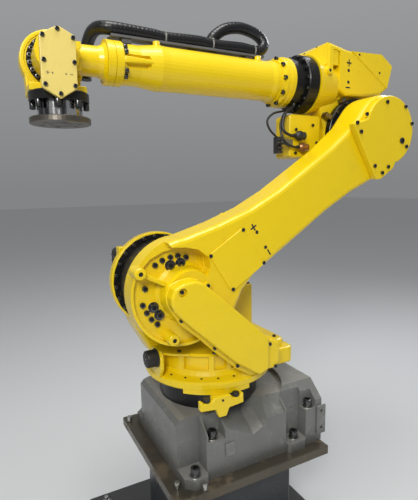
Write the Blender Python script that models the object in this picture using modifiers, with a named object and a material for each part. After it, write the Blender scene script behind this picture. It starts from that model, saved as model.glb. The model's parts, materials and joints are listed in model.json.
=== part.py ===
"""A six axis industrial robot arm on a cast base and a steel pedestal.

Units are metres. The origin is on the floor under the turning axis, and +Z is up.
The forearm points along +X at rest, and +Y is the side that carries the upper arm.
Every joint value is 0 in the pose that is modelled here.
"""

import math

import bmesh
import bpy
from mathutils import Matrix, Vector

# Gaps: between pieces that touch, at running faces, and between pieces that pass.
joint_gap = 0.0003
bearing_gap = 0.0005
sweep_gap = 0.0060

# A route point of a hose or cable comes every so many radii.
pipe_spacing = 1.6

# Round pieces are shaded smooth, except at edges sharper than this.
sharp_degrees = 35

# Pedestal
foot_plate_size = 0.760
foot_plate_thick = 0.025
pedestal_height = 0.410
column_centre_x = -0.025
column_long = 0.380
column_wide = 0.360
column_wall = 0.012
top_plate_long = 0.550
top_plate_wide = 0.510
top_plate_centre_x = -0.040
top_plate_thick = 0.030

# Cast base, from the top plate up
base_front = 0.190
base_rear = -0.317
base_half = 0.215
base_deck = 0.185
base_front_lip = 0.020
base_front_slope = 0.030
shoulder_width = 0.049
shoulder_drop = 0.045
rear_box_rise = 0.015
rear_box_inset = 0.057
rear_box_radius = 0.250
valley_x = -0.044
valley_floor = 0.101
valley_tilt = 30
foot_pad_height = 0.030
foot_pad_reach = 0.020
front_pocket_long = 0.072
front_pocket_deep = 0.055
bolt_pocket_near = 0.078
bolt_pocket_long = 0.057
bolt_pocket_deep = 0.045
bolt_pocket_floor = 0.118
rear_pocket_start = 0.067
rear_pocket_long = 0.080
rear_pocket_deep = 0.043
tower_long = 0.040
tower_deep = 0.031
tower_top = 0.124
side_pad_thick = 0.008
stop_boss_height = 0.040

# Turning axis
bearing_radius = 0.1644
bearing_height = 0.077
rim_radius = 0.210
rim_thick = 0.026
rim_edge = 0.005
drum_radius = 0.172
drum_height = 0.098
lip_depth = 0.011
wall_pocket_depth = 0.014
deck_lip = 0.0065
rear_step = 0.028
shelf_near = 0.165

# Lean axis
lean_x = 0.150
lean_height = 0.565
lean_degrees = -57.5
boss_radius = 0.153
boss_core_radius = 0.128
boss_ring_thick = 0.026
pillar_inner = -0.048
pillar_thick = 0.117
pillar_rear = -0.205
pillar_shoulder = 0.470
lean_reducer_radius = 0.132
lean_motor_size = 0.150
lean_motor_long = 0.175
turn_cover_long = 0.118
turn_cover_wide = 0.085
turn_cover_height = 0.168
nose_reach = 0.205
nose_flange_thick = 0.013
buffer_drop = 0.014
buffer_radius = 0.030
buffer_long = 0.037

# Cable cover on the near side of the lean axis
cover_flange_thick = 0.007
cable_cover_thick = 0.044

# Stop bracket under the rim
bracket_thick = 0.018
bracket_half = 0.071
bracket_centre_x = 0.071
bumper_radius = 0.011
bumper_height = 0.012

# Upper arm: across and along from the lean axis
arm_length = 0.870
arm_back = 0.0876
arm_thick = 0.1124
arm_disc_radius = 0.158
arm_upper_edge = 0.075
arm_lower_edge = 0.085
arm_edge_round = 0.014
elbow_disc_radius = 0.118
joint_step = 0.038
recess_depth = 0.012
recess_radius = 0.150
rib_thick = 0.013
hub_radius = 0.074
hub_rise = 0.0035
arm_boss_radius = 0.016
arm_boss_rise = 0.003
plate_thick = 0.004
plate_start = 0.105
plate_long = 0.132
plate_low = -0.077
plate_high = 0.058
elbow_cover_radius = 0.110
elbow_cover_thick = 0.025
elbow_cover_foot = 0.135
lug_thick = 0.018

# Elbow: from the elbow axis
elbow_offset = 0.170
elbow_reducer_radius = 0.127
elbow_core_radius = 0.110
elbow_step = 0.024
elbow_side = 0.080
elbow_wide = 0.205
knee_radius = 0.130
knee_side = 0.050
knee_wide = 0.160
head_front = 0.146
head_rear = 0.168
head_top = 0.2895
head_cone_long = 0.0418
head_cone_radius = 0.100
head_cone_root = 0.078
head_pocket_deep = 0.030
head_cover_rise = 0.002
elbow_motor_radius = 0.062
elbow_motor_long = 0.150
roll_rim_radius = 0.095
roll_rim_long = 0.045
roll_body_radius = 0.080
roll_body_long = 0.042
stop_bar_size = 0.016
connector_start = 0.147
box_reach = 0.282
box_far = -0.030
connector_reach = 0.3215
connector_drop = 0.082
connector_top = 0.062
power_radius = 0.0135
signal_radius = 0.0125

# Forearm: from the elbow along the roll axis
forearm_length = 1.016
rear_flange_radius = 0.081
rear_flange_long = 0.050
tube_radius = 0.062
tube_end = 0.266
neck_radius = 0.055
neck_end = 0.171
front_flange_radius = 0.060
front_flange_long = 0.022
fork_radius = 0.040
tongue_radius = 0.056
tongue_half = 0.044

# Hose and its tray
hose_radius = 0.0185
tray_gap = 0.006
tray_thick = 0.003
tray_half = 0.0195
tray_front = 0.146
tray_rear = 0.365
loop_start = 0.400

# Wrist: from the bending axis
wrist_disc_radius = 0.084
wrist_disc_thick = 0.052
wrist_ring_radius = 0.0655
wrist_near = 0.085
slab_front = 0.074
slab_rear = 0.070
slab_top = 0.0755
slab_thick = 0.0205
slab_near = 0.036
hex_thick = 0.0147
tool_axis_y = 0.018
collar_radius = 0.076
collar_thick = 0.024
tool_drum_radius = 0.057
tool_plate_radius = 0.078
tool_plate_thick = 0.016
tool_face = 0.175


def clear_scene():
    for old in list(bpy.data.objects):
        bpy.data.objects.remove(old, do_unlink=True)


clear_scene()
robot = bpy.data.collections.new("robot_arm")
cutters = bpy.data.collections.new("cutters")
bpy.context.scene.collection.children.link(robot)
bpy.context.scene.collection.children.link(cutters)
cutters.hide_render = True


def paint(name, colour, metallic, roughness):
    """A plain surface: a colour, how metallic it is and how rough."""
    made = bpy.data.materials.new(name)
    made.use_nodes = True
    surface = made.node_tree.nodes["Principled BSDF"]
    surface.inputs["Base Color"].default_value = (*colour, 1.0)
    surface.inputs["Metallic"].default_value = metallic
    surface.inputs["Roughness"].default_value = roughness
    made.diffuse_color = (*colour, 1.0)
    return made


yellow = paint("yellow_paint", (0.78, 0.58, 0.02), 0.0, 0.35)
pale_yellow = paint("pale_yellow_paint", (0.80, 0.66, 0.10), 0.0, 0.4)
grey = paint("grey_paint", (0.17, 0.18, 0.17), 0.0, 0.5)
charcoal = paint("charcoal_paint", (0.04, 0.045, 0.05), 0.0, 0.6)
rusty = paint("rusty_steel", (0.16, 0.12, 0.08), 0.3, 0.7)
black = paint("black_metal", (0.02, 0.02, 0.022), 0.5, 0.4)
steel = paint("steel", (0.45, 0.45, 0.44), 1.0, 0.35)
dark_steel = paint("dark_steel", (0.12, 0.11, 0.10), 1.0, 0.25)
rubber = paint("rubber", (0.02, 0.02, 0.02), 0.0, 0.6)
plastic = paint("black_plastic", (0.03, 0.03, 0.03), 0.0, 0.5)


def axis_point(name, parent, place, turn=None):
    """An empty on an axis. What is measured from it is its child."""
    made = bpy.data.objects.new(name, None)
    made.parent = parent
    made.location = place
    if turn is not None:
        made.rotation_euler = turn
    bpy.context.scene.collection.objects.link(made)
    return made


floor = axis_point("floor_point", None, (0, 0, 0))
turn_axis = axis_point("turn_axis", floor, (0, 0, pedestal_height))
lean_turn = (0, math.radians(lean_degrees), 0)
arm_axis = axis_point("arm_axis", turn_axis, (lean_x, 0, lean_height), lean_turn)
elbow_axis = axis_point("elbow_axis", arm_axis, (0, 0, arm_length),
                        (0, -math.radians(lean_degrees), 0))
roll_axis = axis_point("roll_axis", elbow_axis, (0, 0, elbow_offset))
wrist_axis = axis_point("wrist_axis", roll_axis, (forearm_length, 0, 0))
tool_axis = axis_point("tool_axis", wrist_axis, (0, tool_axis_y, 0))

# Turning a shape so that its own Z runs along another axis
upright = {
    "X": (0, math.radians(90), 0),
    "Y": (math.radians(-90), 0, 0),
    "Z": (0, 0, 0),
}


def arc(centre, radius, start, end, steps):
    """Points on an arc, with its angles in degrees."""
    points = []
    for step in range(steps + 1):
        angle = math.radians(start + (end - start) * step / steps)
        points.append(
            (centre[0] + radius * math.cos(angle), centre[1] + radius * math.sin(angle))
        )
    return points


def rounded(corners, radius, steps=3):
    """A closed outline with its corners rounded."""
    points = []
    for index, corner in enumerate(corners):
        corner = Vector(corner)
        before = Vector(corners[index - 1]) - corner
        after = Vector(corners[(index + 1) % len(corners)]) - corner
        reach = radius / math.tan(before.angle(after) / 2)
        reach = min(reach, 0.45 * before.length, 0.45 * after.length)
        start = corner + before.normalized() * reach
        end = corner + after.normalized() * reach
        for step in range(steps + 1):
            t = step / steps
            point = start * (1 - t) ** 2 + corner * 2 * t * (1 - t) + end * t**2
            points.append((point.x, point.y))
    return points


def add_object(name, data, home, material):
    """Puts a shape in its group. With no material it is a cutter."""
    made = bpy.data.objects.new(name, data)
    made.parent = home
    if material is None:
        cutters.objects.link(made)
        made.hide_render = True
        made.display_type = "WIRE"
        return made
    robot.objects.link(made)
    data.materials.append(material)
    return made


def to_mesh(name, shape):
    bmesh.ops.recalc_face_normals(shape, faces=shape.faces)
    data = bpy.data.meshes.new(name)
    shape.to_mesh(data)
    shape.free()
    return data


def extruded(name, outline, axis, low, high, home, material=None):
    """A flat outline drawn as a filled curve and pushed along an axis."""
    drawn = bpy.data.curves.new(name, "CURVE")
    drawn.dimensions = "2D"
    drawn.fill_mode = "BOTH"
    drawn.extrude = (high - low) / 2
    line = drawn.splines.new("POLY")
    line.points.add(len(outline) - 1)
    for point, (u, v) in zip(line.points, outline):
        point.co = (u, v, 0, 1)
    line.use_cyclic_u = True
    guide = bpy.data.objects.new(name + "_outline", drawn)
    cutters.objects.link(guide)
    graph = bpy.context.evaluated_depsgraph_get()
    data = bpy.data.meshes.new_from_object(guide.evaluated_get(graph))
    bpy.data.objects.remove(guide, do_unlink=True)
    bpy.data.curves.remove(drawn)

    # The curve lies in XY. It is stood up and moved to the middle of its limits.
    middle = (low + high) / 2
    placing = {
        "X": Matrix(((0, 0, 1, middle), (1, 0, 0, 0), (0, 1, 0, 0), (0, 0, 0, 1))),
        "Y": Matrix(((1, 0, 0, 0), (0, 0, -1, middle), (0, 1, 0, 0), (0, 0, 0, 1))),
        "Z": Matrix.Translation((0, 0, middle)),
    }[axis]
    shape = bmesh.new()
    shape.from_mesh(data)
    bpy.data.meshes.remove(data)
    bmesh.ops.remove_doubles(shape, verts=shape.verts, dist=0.00001)
    bmesh.ops.dissolve_limit(shape, angle_limit=0.001, verts=shape.verts,
                             edges=shape.edges)
    bmesh.ops.transform(shape, matrix=placing, verts=shape.verts)
    return add_object(name, to_mesh(name, shape), home, material)


def block(name, x, y, z, home, material=None):
    """A box from three pairs of limits."""
    shape = bmesh.new()
    bmesh.ops.create_cube(shape, size=1.0)
    size = Vector((x[1] - x[0], y[1] - y[0], z[1] - z[0]))
    middle = Vector((x[1] + x[0], y[1] + y[0], z[1] + z[0])) / 2
    placing = Matrix.Translation(middle) @ Matrix.Diagonal((*size, 1.0))
    bmesh.ops.transform(shape, matrix=placing, verts=shape.verts)
    return add_object(name, to_mesh(name, shape), home, material)


def disc(name, radius, low, high, axis, centre, home, material=None, steps=40, end=None):
    """A round piece along an axis. With an end radius it is a cone."""
    shape = bmesh.new()
    bmesh.ops.create_cone(
        shape,
        cap_ends=True,
        segments=steps,
        radius1=radius,
        radius2=radius if end is None else end,
        depth=high - low,
    )
    bmesh.ops.translate(shape, verts=shape.verts, vec=(0, 0, (low + high) / 2))
    data = to_mesh(name, shape)
    data.shade_smooth()
    data.set_sharp_from_angle(angle=math.radians(sharp_degrees))
    made = add_object(name, data, home, material)
    made.rotation_euler = upright[axis]
    places = {"X": (0, *centre), "Y": (centre[0], 0, centre[1]), "Z": (*centre, 0)}
    made.location = places[axis]
    return made


def turned(name, profile, axis, centre, home, material=None, steps=40):
    """A profile of radius and place along the axis, turned by a Screw modifier."""
    shape = bmesh.new()
    if profile[0][1] < profile[-1][1]:
        profile = profile[::-1]
    points = [shape.verts.new((radius, 0, along)) for radius, along in profile]
    for first, second in zip(points, points[1:]):
        shape.edges.new((first, second))
    data = bpy.data.meshes.new(name)
    shape.to_mesh(data)
    shape.free()
    made = add_object(name, data, home, material)
    screw = made.modifiers.new("turn", "SCREW")
    screw.steps = steps
    screw.render_steps = steps
    screw.use_merge_vertices = True
    screw.merge_threshold = 0.00005
    made.rotation_euler = upright[axis]
    places = {"X": (0, *centre), "Y": (centre[0], 0, centre[1]), "Z": (*centre, 0)}
    made.location = places[axis]
    return made


def soften(piece, width, segments=2, angle=40.0):
    """Rounds the sharp edges."""
    bevel = piece.modifiers.new("soften", "BEVEL")
    bevel.width = width
    bevel.segments = segments
    bevel.limit_method = "ANGLE"
    bevel.angle_limit = math.radians(angle)
    return piece


def combine(piece, operation, others):
    for other in others:
        change = piece.modifiers.new(operation.lower() + "_" + other.name, "BOOLEAN")
        change.operation = operation
        change.solver = "EXACT"
        change.object = other
    return piece


def fuse(piece, *others):
    return combine(piece, "UNION", others)


def cut(piece, *others):
    return combine(piece, "DIFFERENCE", others)


def smooth_route(points, spacing):
    """Points along a smooth curve that passes through each given point."""
    knots = [Vector(point) for point in points]
    knots = [2 * knots[0] - knots[1], *knots, 2 * knots[-1] - knots[-2]]
    route = [knots[1]]
    for before, start, end, after in zip(knots, knots[1:], knots[2:], knots[3:]):
        steps = max(1, round((end - start).length / spacing))
        for step in range(1, steps + 1):
            t = step / steps
            point = 2 * start + (end - before) * t
            point += (2 * before - 5 * start + 4 * end - after) * t**2
            point += (3 * start - before - 3 * end + after) * t**3
            route.append(point / 2)
    return route


def pipe(name, points, radius, home, material):
    """A round hose or cable along a smooth route through the points."""
    line = bpy.data.curves.new(name, "CURVE")
    line.dimensions = "3D"
    line.bevel_depth = radius
    line.bevel_resolution = 2
    line.use_fill_caps = True
    route = smooth_route(points, pipe_spacing * radius)
    path = line.splines.new("POLY")
    path.points.add(len(route) - 1)
    for knot, point in zip(path.points, route):
        knot.co = (*point, 1)
    return add_object(name, line, home, material)


def both_sides(low, high):
    """Limits on the near side and on the far side, with a word for each."""
    return (("near", (low, high)), ("far", (-high, -low)))


def build_pedestal():
    half = foot_plate_size / 2
    foot_x = (column_centre_x - half, column_centre_x + half)
    foot = block("pedestal_foot_plate", foot_x, (-half, half), (0, foot_plate_thick),
                 floor, charcoal)
    soften(foot, 0.003, 1)

    x = (column_centre_x - column_long / 2, column_centre_x + column_long / 2)
    y = (-column_wide / 2, column_wide / 2)
    z = (foot_plate_thick + joint_gap, pedestal_height - top_plate_thick - joint_gap)
    column = block("pedestal_column", x, y, z, floor, charcoal)
    soften(column, 0.006, 2)
    inside = block("column_inside", (x[0] + column_wall, x[1] - column_wall),
                   (y[0] + column_wall, y[1] - column_wall), (z[0] - 0.1, z[1] + 0.1), floor)
    cut(column, inside)

    plate_x = (top_plate_centre_x - top_plate_long / 2, top_plate_centre_x + top_plate_long / 2)
    plate_y = (-top_plate_wide / 2, top_plate_wide / 2)
    plate = block("pedestal_top_plate", plate_x, plate_y, (-top_plate_thick, 0), turn_axis,
                  rusty)
    soften(plate, 0.002, 1)


def base_shoulder(tag, y, start, end, inset, drop):
    """A cutter that slopes the side of the deck."""
    side = 1 if y[0] > 0 else -1
    over = 0.050
    slope = drop / inset
    corners = [
        (side * (base_half - inset), base_deck + 0.0005),
        (side * (base_half + over), base_deck + 0.0005),
        (side * (base_half + over), base_deck - slope * (inset + over)),
    ]
    if side < 0:
        corners.reverse()
    return extruded("shoulder_" + tag, corners, "X", start, end, turn_axis)


def build_base():
    front_low = base_deck - base_front_lip
    side_view = [
        (base_front, joint_gap),
        (base_front, front_low),
        (base_front - 0.4 * base_front_slope, base_deck - 0.3 * base_front_lip),
        (base_front - base_front_slope, base_deck),
        (base_rear, base_deck),
        (base_rear, joint_gap),
    ]
    casting = extruded("base_casting", side_view, "Y", -base_half, base_half, turn_axis, grey)

    box_half = base_half - rear_box_inset
    box_side = base_deck - 0.037
    end_view = [
        (-base_half, 0.5 * base_deck),
        (base_half, 0.5 * base_deck),
        (base_half, box_side),
        (box_half, base_deck + rear_box_rise),
        (-box_half, base_deck + rear_box_rise),
        (-base_half, box_side),
    ]
    rear_start = -math.sqrt(rear_box_radius**2 - box_half**2)
    rear_box = extruded("rear_box", end_view, "X", base_rear, rear_start + 0.03, turn_axis)
    cut(rear_box, disc("rear_box_round", rear_box_radius, 0, 0.4, "Z", (0, 0), turn_axis,
                       steps=64))

    cuts = []
    for tag, y in both_sides(base_half - shoulder_width, base_half + 0.1):
        cuts.append(base_shoulder(tag, y, rear_start, base_front + 0.05, shoulder_width,
                                  shoulder_drop))
        cuts.append(base_shoulder("rear_" + tag, y, base_rear - 0.05, rear_start + 0.0005,
                                  rear_box_inset, base_deck - box_side))
    cut(casting, *cuts)
    fuse(casting, rear_box)

    # A slanted valley runs down each side from under the bearing.
    cuts = []
    valley = [(0.105, 0.200), (-0.100, 0.200), (-0.059, 0.046), (-0.035, 0.013), (0.000, 0.000),
              (0.094, 0.039)]
    for side, tag in ((1, "near"), (-1, "far")):
        trough = extruded("valley_" + tag, valley, "Y", -0.160, 0.080, turn_axis)
        trough.scale.y = side
        trough.location = (valley_x, side * base_half, valley_floor)
        trough.rotation_euler.x = -side * math.radians(valley_tilt)
        cuts.append(trough)
    pocket_x = base_front - front_pocket_long
    for tag, y in both_sides(base_half - front_pocket_deep, base_half + 0.1):
        cuts.append(block("front_pocket_" + tag, (pocket_x, base_front + 0.1), y,
                          (foot_pad_height, 0.4), turn_axis))
    bolt_x = (base_front - bolt_pocket_near - bolt_pocket_long, base_front - bolt_pocket_near)
    for tag, y in both_sides(base_half - bolt_pocket_deep, base_half + 0.1):
        cuts.append(block("bolt_pocket_" + tag, bolt_x, y, (bolt_pocket_floor, 0.4),
                          turn_axis))
    rear_x = (base_rear + rear_pocket_start, base_rear + rear_pocket_start + rear_pocket_long)
    for tag, y in both_sides(base_half - rear_pocket_deep, base_half + 0.1):
        cuts.append(block("rear_pocket_" + tag, rear_x, y, (foot_pad_height, 0.4), turn_axis))
    tower_x = (rear_x[0] - tower_long, rear_x[0] + 0.0005)
    for tag, y in both_sides(base_half - tower_deep, base_half + 0.1):
        cuts.append(block("tower_" + tag, tower_x, y, (tower_top, 0.4), turn_axis))
    cut(casting, *cuts)

    pads = []
    for side, tag in ((1, "near"), (-1, "far")):
        inner = base_half - front_pocket_deep - 0.010
        front_pad = [
            (pocket_x - 0.012, inner),
            (base_front - 0.004, inner),
            (base_front - 0.004, base_half),
            (base_front - 0.024, base_half + foot_pad_reach),
            (pocket_x + 0.006, base_half + foot_pad_reach),
            (pocket_x - 0.012, base_half - 0.020),
        ]
        rear_inner = base_half - rear_pocket_deep - 0.010
        rear_pad = [
            (rear_x[0] + 0.002, rear_inner),
            (rear_x[1] - 0.002, rear_inner),
            (rear_x[1] - 0.002, base_half + 0.3 * foot_pad_reach),
            (rear_x[1] - 0.012, base_half + 0.65 * foot_pad_reach),
            (rear_x[0] + 0.012, base_half + 0.65 * foot_pad_reach),
            (rear_x[0] + 0.002, base_half + 0.3 * foot_pad_reach),
        ]
        for word, pad, top in (
            ("front", front_pad, foot_pad_height),
            ("rear", rear_pad, foot_pad_height - 0.0004),
        ):
            shape = [(x, side * y) for x, y in pad]
            if side < 0:
                shape.reverse()
            pads.append(extruded(word + "_pad_" + tag, shape, "Z", joint_gap, top, turn_axis))
    fuse(casting, *pads)

    outer = base_half + joint_gap
    side_pad = block("base_side_pad", (base_rear - 0.013, tower_x[0] - 0.004),
                     (outer, outer + side_pad_thick), (0.9 * foot_pad_height, tower_top + 0.004),
                     turn_axis, grey)
    soften(side_pad, 0.002, 1)
    boss_x = (valley_x + 0.066, valley_x + 0.100)
    boss = block("turn_stop_block", boss_x, (outer, outer + 0.006),
                 (0.060, 0.060 + stop_boss_height), turn_axis, grey)
    soften(boss, 0.0015, 1)

    low = base_deck + joint_gap
    disc("turn_bearing", bearing_radius, low, base_deck + bearing_height, "Z", (0, 0),
         turn_axis, black, steps=56)


rim_low = base_deck + bearing_height + bearing_gap
rim_top = rim_low + rim_thick
drum_top = rim_low + drum_height


def build_carousel():
    casting = turned(
        "carousel",
        [
            (0, rim_low),
            (rim_radius - rim_edge, rim_low),
            (rim_radius, rim_low + rim_edge),
            (rim_radius, rim_top - rim_edge),
            (rim_radius - rim_edge, rim_top),
            (drum_radius + 0.008, rim_top + 0.007),
            (drum_radius, rim_top + 0.017),
            (drum_radius, drum_top - 0.006),
            (drum_radius - 0.006, drum_top),
            (0, drum_top),
        ],
        "Z", (0, 0), turn_axis, yellow, steps=56,
    )

    # The pillar rises behind the arm to the lean boss.
    foot_z = rim_top + 0.010
    outline = arc((lean_x, lean_height), boss_core_radius, -22, 148, 24)
    outline += [
        (lean_x - 0.185, lean_height - 0.045),
        (pillar_rear + 0.045, pillar_shoulder + 0.030),
        (pillar_rear, pillar_shoulder),
        (pillar_rear, foot_z + 0.045),
        (pillar_rear + 0.055, foot_z),
        (lean_x + 0.020, foot_z),
        (lean_x + 0.075, lean_height - 0.165),
    ]
    pillar = extruded("pillar", outline, "Y", pillar_inner - pillar_thick, pillar_inner - 0.006,
                      turn_axis)
    soften(pillar, 0.010, 2)
    ring = disc("boss_ring", boss_core_radius, pillar_inner - 2.2 * boss_ring_thick,
                pillar_inner - boss_ring_thick, "Y", (lean_x, lean_height), turn_axis, steps=56,
                end=boss_radius)
    face = disc("boss_face", boss_radius, pillar_inner - boss_ring_thick - 0.001, pillar_inner,
                "Y", (lean_x, lean_height), turn_axis, steps=56)
    soften(face, 0.004, 2)
    tab = block("boss_tab", (lean_x + 0.092, lean_x + 0.124),
                (pillar_inner - boss_ring_thick - 0.012, pillar_inner - 0.004),
                (lean_height + 0.078, lean_height + 0.112), turn_axis)
    soften(tab, 0.003, 1)

    # The rear deck is a step behind the drum, with a lower shelf at its end.
    deck = extruded(
        "rear_deck",
        rounded([(-0.215, -0.130), (-0.045, -0.130), (-0.045, 0.150), (-0.215, 0.150)], 0.030),
        "Z", rim_top - 0.004, drum_top - 0.002, turn_axis,
    )
    soften(deck, 0.008, 2)
    shelf = extruded(
        "rear_shelf",
        rounded([(-0.238, -0.110), (-0.080, -0.110), (-0.080, shelf_near), (-0.238, shelf_near)],
                0.025),
        "Z", rim_top - 0.010, drum_top - rear_step, turn_axis,
    )
    soften(shelf, 0.006, 2)

    # The nose at the front is a flange for the buffer on a web, under the deck's edge.
    flange = extruded(
        "nose_flange",
        rounded([(-0.008, rim_top - 0.004), (0.074, rim_top - 0.004), (0.092, rim_top + 0.027),
                 (0.092, drum_top - 0.008), (0.070, drum_top + 0.009), (0.026, drum_top + 0.009),
                 (-0.008, drum_top - 0.014)], 0.014),
        "X", nose_reach - nose_flange_thick, nose_reach, turn_axis,
    )
    soften(flange, 0.004, 2)
    web = extruded(
        "nose_web",
        rounded([(0.100, -0.004), (nose_reach - 0.006, 0.004), (nose_reach - 0.006, 0.042),
                 (0.160, 0.036), (0.120, 0.060)], 0.012),
        "Z", rim_top - 0.004, drum_top - 0.002, turn_axis,
    )
    edge = extruded(
        "deck_edge",
        rounded([(0.090, 0.000), (nose_reach - 0.003, 0.003), (nose_reach - 0.003, 0.052),
                 (0.188, 0.072), (0.162, 0.098), (0.118, 0.126)], 0.010),
        "Z", drum_top - deck_lip, drum_top + 0.0007, turn_axis,
    )

    # Pockets between ribs, and a lip on the near side of the drum and rim.
    fuse(casting, pillar, ring, face, tab, deck, shelf, flange, web, edge)
    pocket_r = drum_radius - wall_pocket_depth
    pockets = []
    for tag, start, end in (("front", 37, 65), ("middle", 68.5, 83.5), ("rear", 87, 104)):
        sector = arc((0, 0), drum_radius + 0.020, start, end, 7)
        sector += arc((0, 0), pocket_r, end - 1.5, start + 1.5, 7)
        pocket = extruded("wall_pocket_" + tag, sector, "Z", rim_top + 0.022,
                          drum_top - deck_lip, turn_axis)
        pockets.append(pocket)
    cut(casting, *pockets)
    lip = arc((0, 0), rim_radius - 0.002, 42, 100, 12)
    lip += arc((0, 0), bearing_radius + 0.012, 100, 42, 12)
    fuse(casting, extruded("rim_lip", lip, "Z", rim_low - lip_depth, rim_low + 0.004,
                           turn_axis))

    cap = disc("buffer_cap", buffer_radius, nose_reach + joint_gap, nose_reach + buffer_long, "X",
               (0.062, drum_top - buffer_drop), turn_axis, rubber, steps=28)
    soften(cap, 0.004, 2)


def build_carousel_fittings():
    centre = (lean_x, lean_height)
    reducer = disc("lean_reducer", lean_reducer_radius, pillar_inner + joint_gap,
                   arm_back - bearing_gap, "Y", centre, turn_axis, black, steps=48)
    soften(reducer, 0.003, 1)
    back = pillar_inner - pillar_thick - joint_gap
    half = lean_motor_size / 2
    corners = [(lean_x - half, lean_height - half), (lean_x + half, lean_height - half),
               (lean_x + half, lean_height + half), (lean_x - half, lean_height + half)]
    motor = extruded("lean_motor", rounded(corners, 0.022), "Y", back - lean_motor_long, back,
                     turn_axis, black)
    soften(motor, 0.006, 1)
    x = (-0.160, -0.160 + turn_cover_long)
    y = (-0.040, -0.040 + turn_cover_wide)
    corners = [(x[0], y[0]), (x[1], y[0]), (x[1], y[1]), (x[0], y[1])]
    cover = extruded("turn_motor", rounded(corners, 0.022), "Z", drum_top + joint_gap,
                     drum_top + turn_cover_height, turn_axis, yellow)
    soften(cover, 0.008, 2)


def from_lean(points):
    """Points given from the lean axis, in X and Z of the turning axis."""
    return [(lean_x + x, lean_height + z) for x, z in points]


def build_cable_cover():
    """A flange with a raised channel on it, from the lean axis down to the rear."""
    near = arm_back + arm_thick + sweep_gap
    top = near + cover_flange_thick
    flange = from_lean([
        (0.078, 0.009), (0.068, 0.036), (0.040, 0.0485), (0.006, 0.0515), (-0.017, 0.0435),
        (-0.075, -0.005), (-0.154, -0.078), (-0.232, -0.150), (-0.284, -0.174),
        (-0.284, -0.246), (-0.262, -0.262), (-0.190, -0.274), (-0.138, -0.241),
        (-0.062, -0.171), (-0.012, -0.121), (0.040, -0.075), (0.068, -0.028), (0.077, -0.010),
    ])
    channel = from_lean([
        (0.076, 0.009), (0.066, 0.034), (0.039, 0.046), (0.006, 0.049), (-0.015, 0.041),
        (-0.072, -0.007), (-0.151, -0.080), (-0.229, -0.151), (-0.231, -0.246),
        (-0.196, -0.259), (-0.176, -0.246), (-0.117, -0.206), (-0.044, -0.138),
        (0.028, -0.071), (0.067, -0.028), (0.075, -0.010),
    ])
    end_box = from_lean([(-0.220, -0.150), (-0.279, -0.177), (-0.279, -0.243), (-0.258, -0.256),
                         (-0.220, -0.256)])
    cover = extruded("cable_cover", flange[::-1], "Y", near, top, turn_axis, yellow)
    soften(cover, 0.002, 1)
    raised = extruded("cable_channel", rounded(channel[::-1], 0.012), "Y", near + 0.003,
                      near + cable_cover_thick, turn_axis)
    soften(raised, 0.008, 3)
    end = extruded("cable_end", end_box[::-1], "Y", near + 0.003, near + 0.6 * cable_cover_thick,
                   turn_axis)
    soften(end, 0.006, 2)
    lug = disc("cable_lug", 0.011, near + 0.001, top + 0.001, "Y",
               (lean_x - 0.047, lean_height + 0.023), turn_axis, steps=24)
    foot = block("cable_cover_foot", (-0.128, -0.090), (shelf_near + joint_gap, near + 0.004),
                 (0.305, drum_top - rear_step - 0.002), turn_axis)
    fuse(cover, raised, end, lug, foot)
    cut(cover, disc("screw_pocket", 0.012, top + 0.001, near + 2 * cable_cover_thick, "Y",
                    (lean_x + 0.044, lean_height + 0.022), turn_axis, steps=24))


def build_stop_bracket():
    near = rim_radius + 0.003
    middle = bracket_centre_x
    top = rim_low - joint_gap
    outline = [
        (middle - bracket_half, top - 0.037),
        (middle - 0.023, top - 0.041),
        (middle - 0.013, top - 0.064),
        (middle + 0.011, top - 0.064),
        (middle + 0.021, top - 0.037),
        (middle + bracket_half, top - 0.031),
        (middle + bracket_half, top - 0.003),
        (middle + bracket_half - 0.006, top - 0.003),
        (middle + bracket_half - 0.012, top - 0.010),
        (middle + 0.034, top - 0.010),
        (middle + 0.026, top),
        (middle - 0.026, top),
        (middle - 0.034, top - 0.014),
        (middle - bracket_half + 0.012, top - 0.014),
        (middle - bracket_half + 0.006, top - 0.006),
        (middle - bracket_half, top - 0.006),
    ]
    bracket = extruded("stop_bracket", outline, "Y", near, near + bracket_thick, turn_axis,
                       yellow)
    soften(bracket, 0.0025, 1)
    stem = block("stop_stem", (middle - 0.020, middle + 0.020),
                 (rim_radius - 0.020, near + 0.006), (top - 0.034, top - lip_depth),
                 turn_axis)
    fuse(bracket, stem)
    seats = (("left", middle + 0.048, top - 0.010), ("right", middle - 0.048, top - 0.014))
    for tag, x, seat in seats:
        bumper = disc("stop_bumper_" + tag, bumper_radius, seat + joint_gap,
                      seat + bumper_height, "Z", (x, near + bracket_thick / 2), turn_axis,
                      rubber, steps=20)
        soften(bumper, 0.002, 1)


arm_near = arm_back + arm_thick


def arm_outline():
    """The arm from the side: across, then along from the lean axis."""
    points = arc((0, 0), arm_disc_radius, 150, 388, 36)
    points += [
        (arm_upper_edge + 0.034, 0.180),
        (arm_upper_edge + 0.010, 0.290),
        (arm_upper_edge, 0.400),
        (arm_upper_edge, arm_length - 0.230),
        (arm_upper_edge + 0.012, arm_length - 0.110),
    ]
    points += arc((0, arm_length), elbow_disc_radius, -20, 184, 28)
    points += [
        (-arm_lower_edge - 0.029, arm_length - 0.105),
        (-arm_lower_edge - 0.008, arm_length - 0.230),
        (-arm_lower_edge, arm_length - 0.350),
        (-arm_lower_edge, 0.200),
        (-arm_lower_edge - 0.014, 0.140),
    ]
    return points


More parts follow.
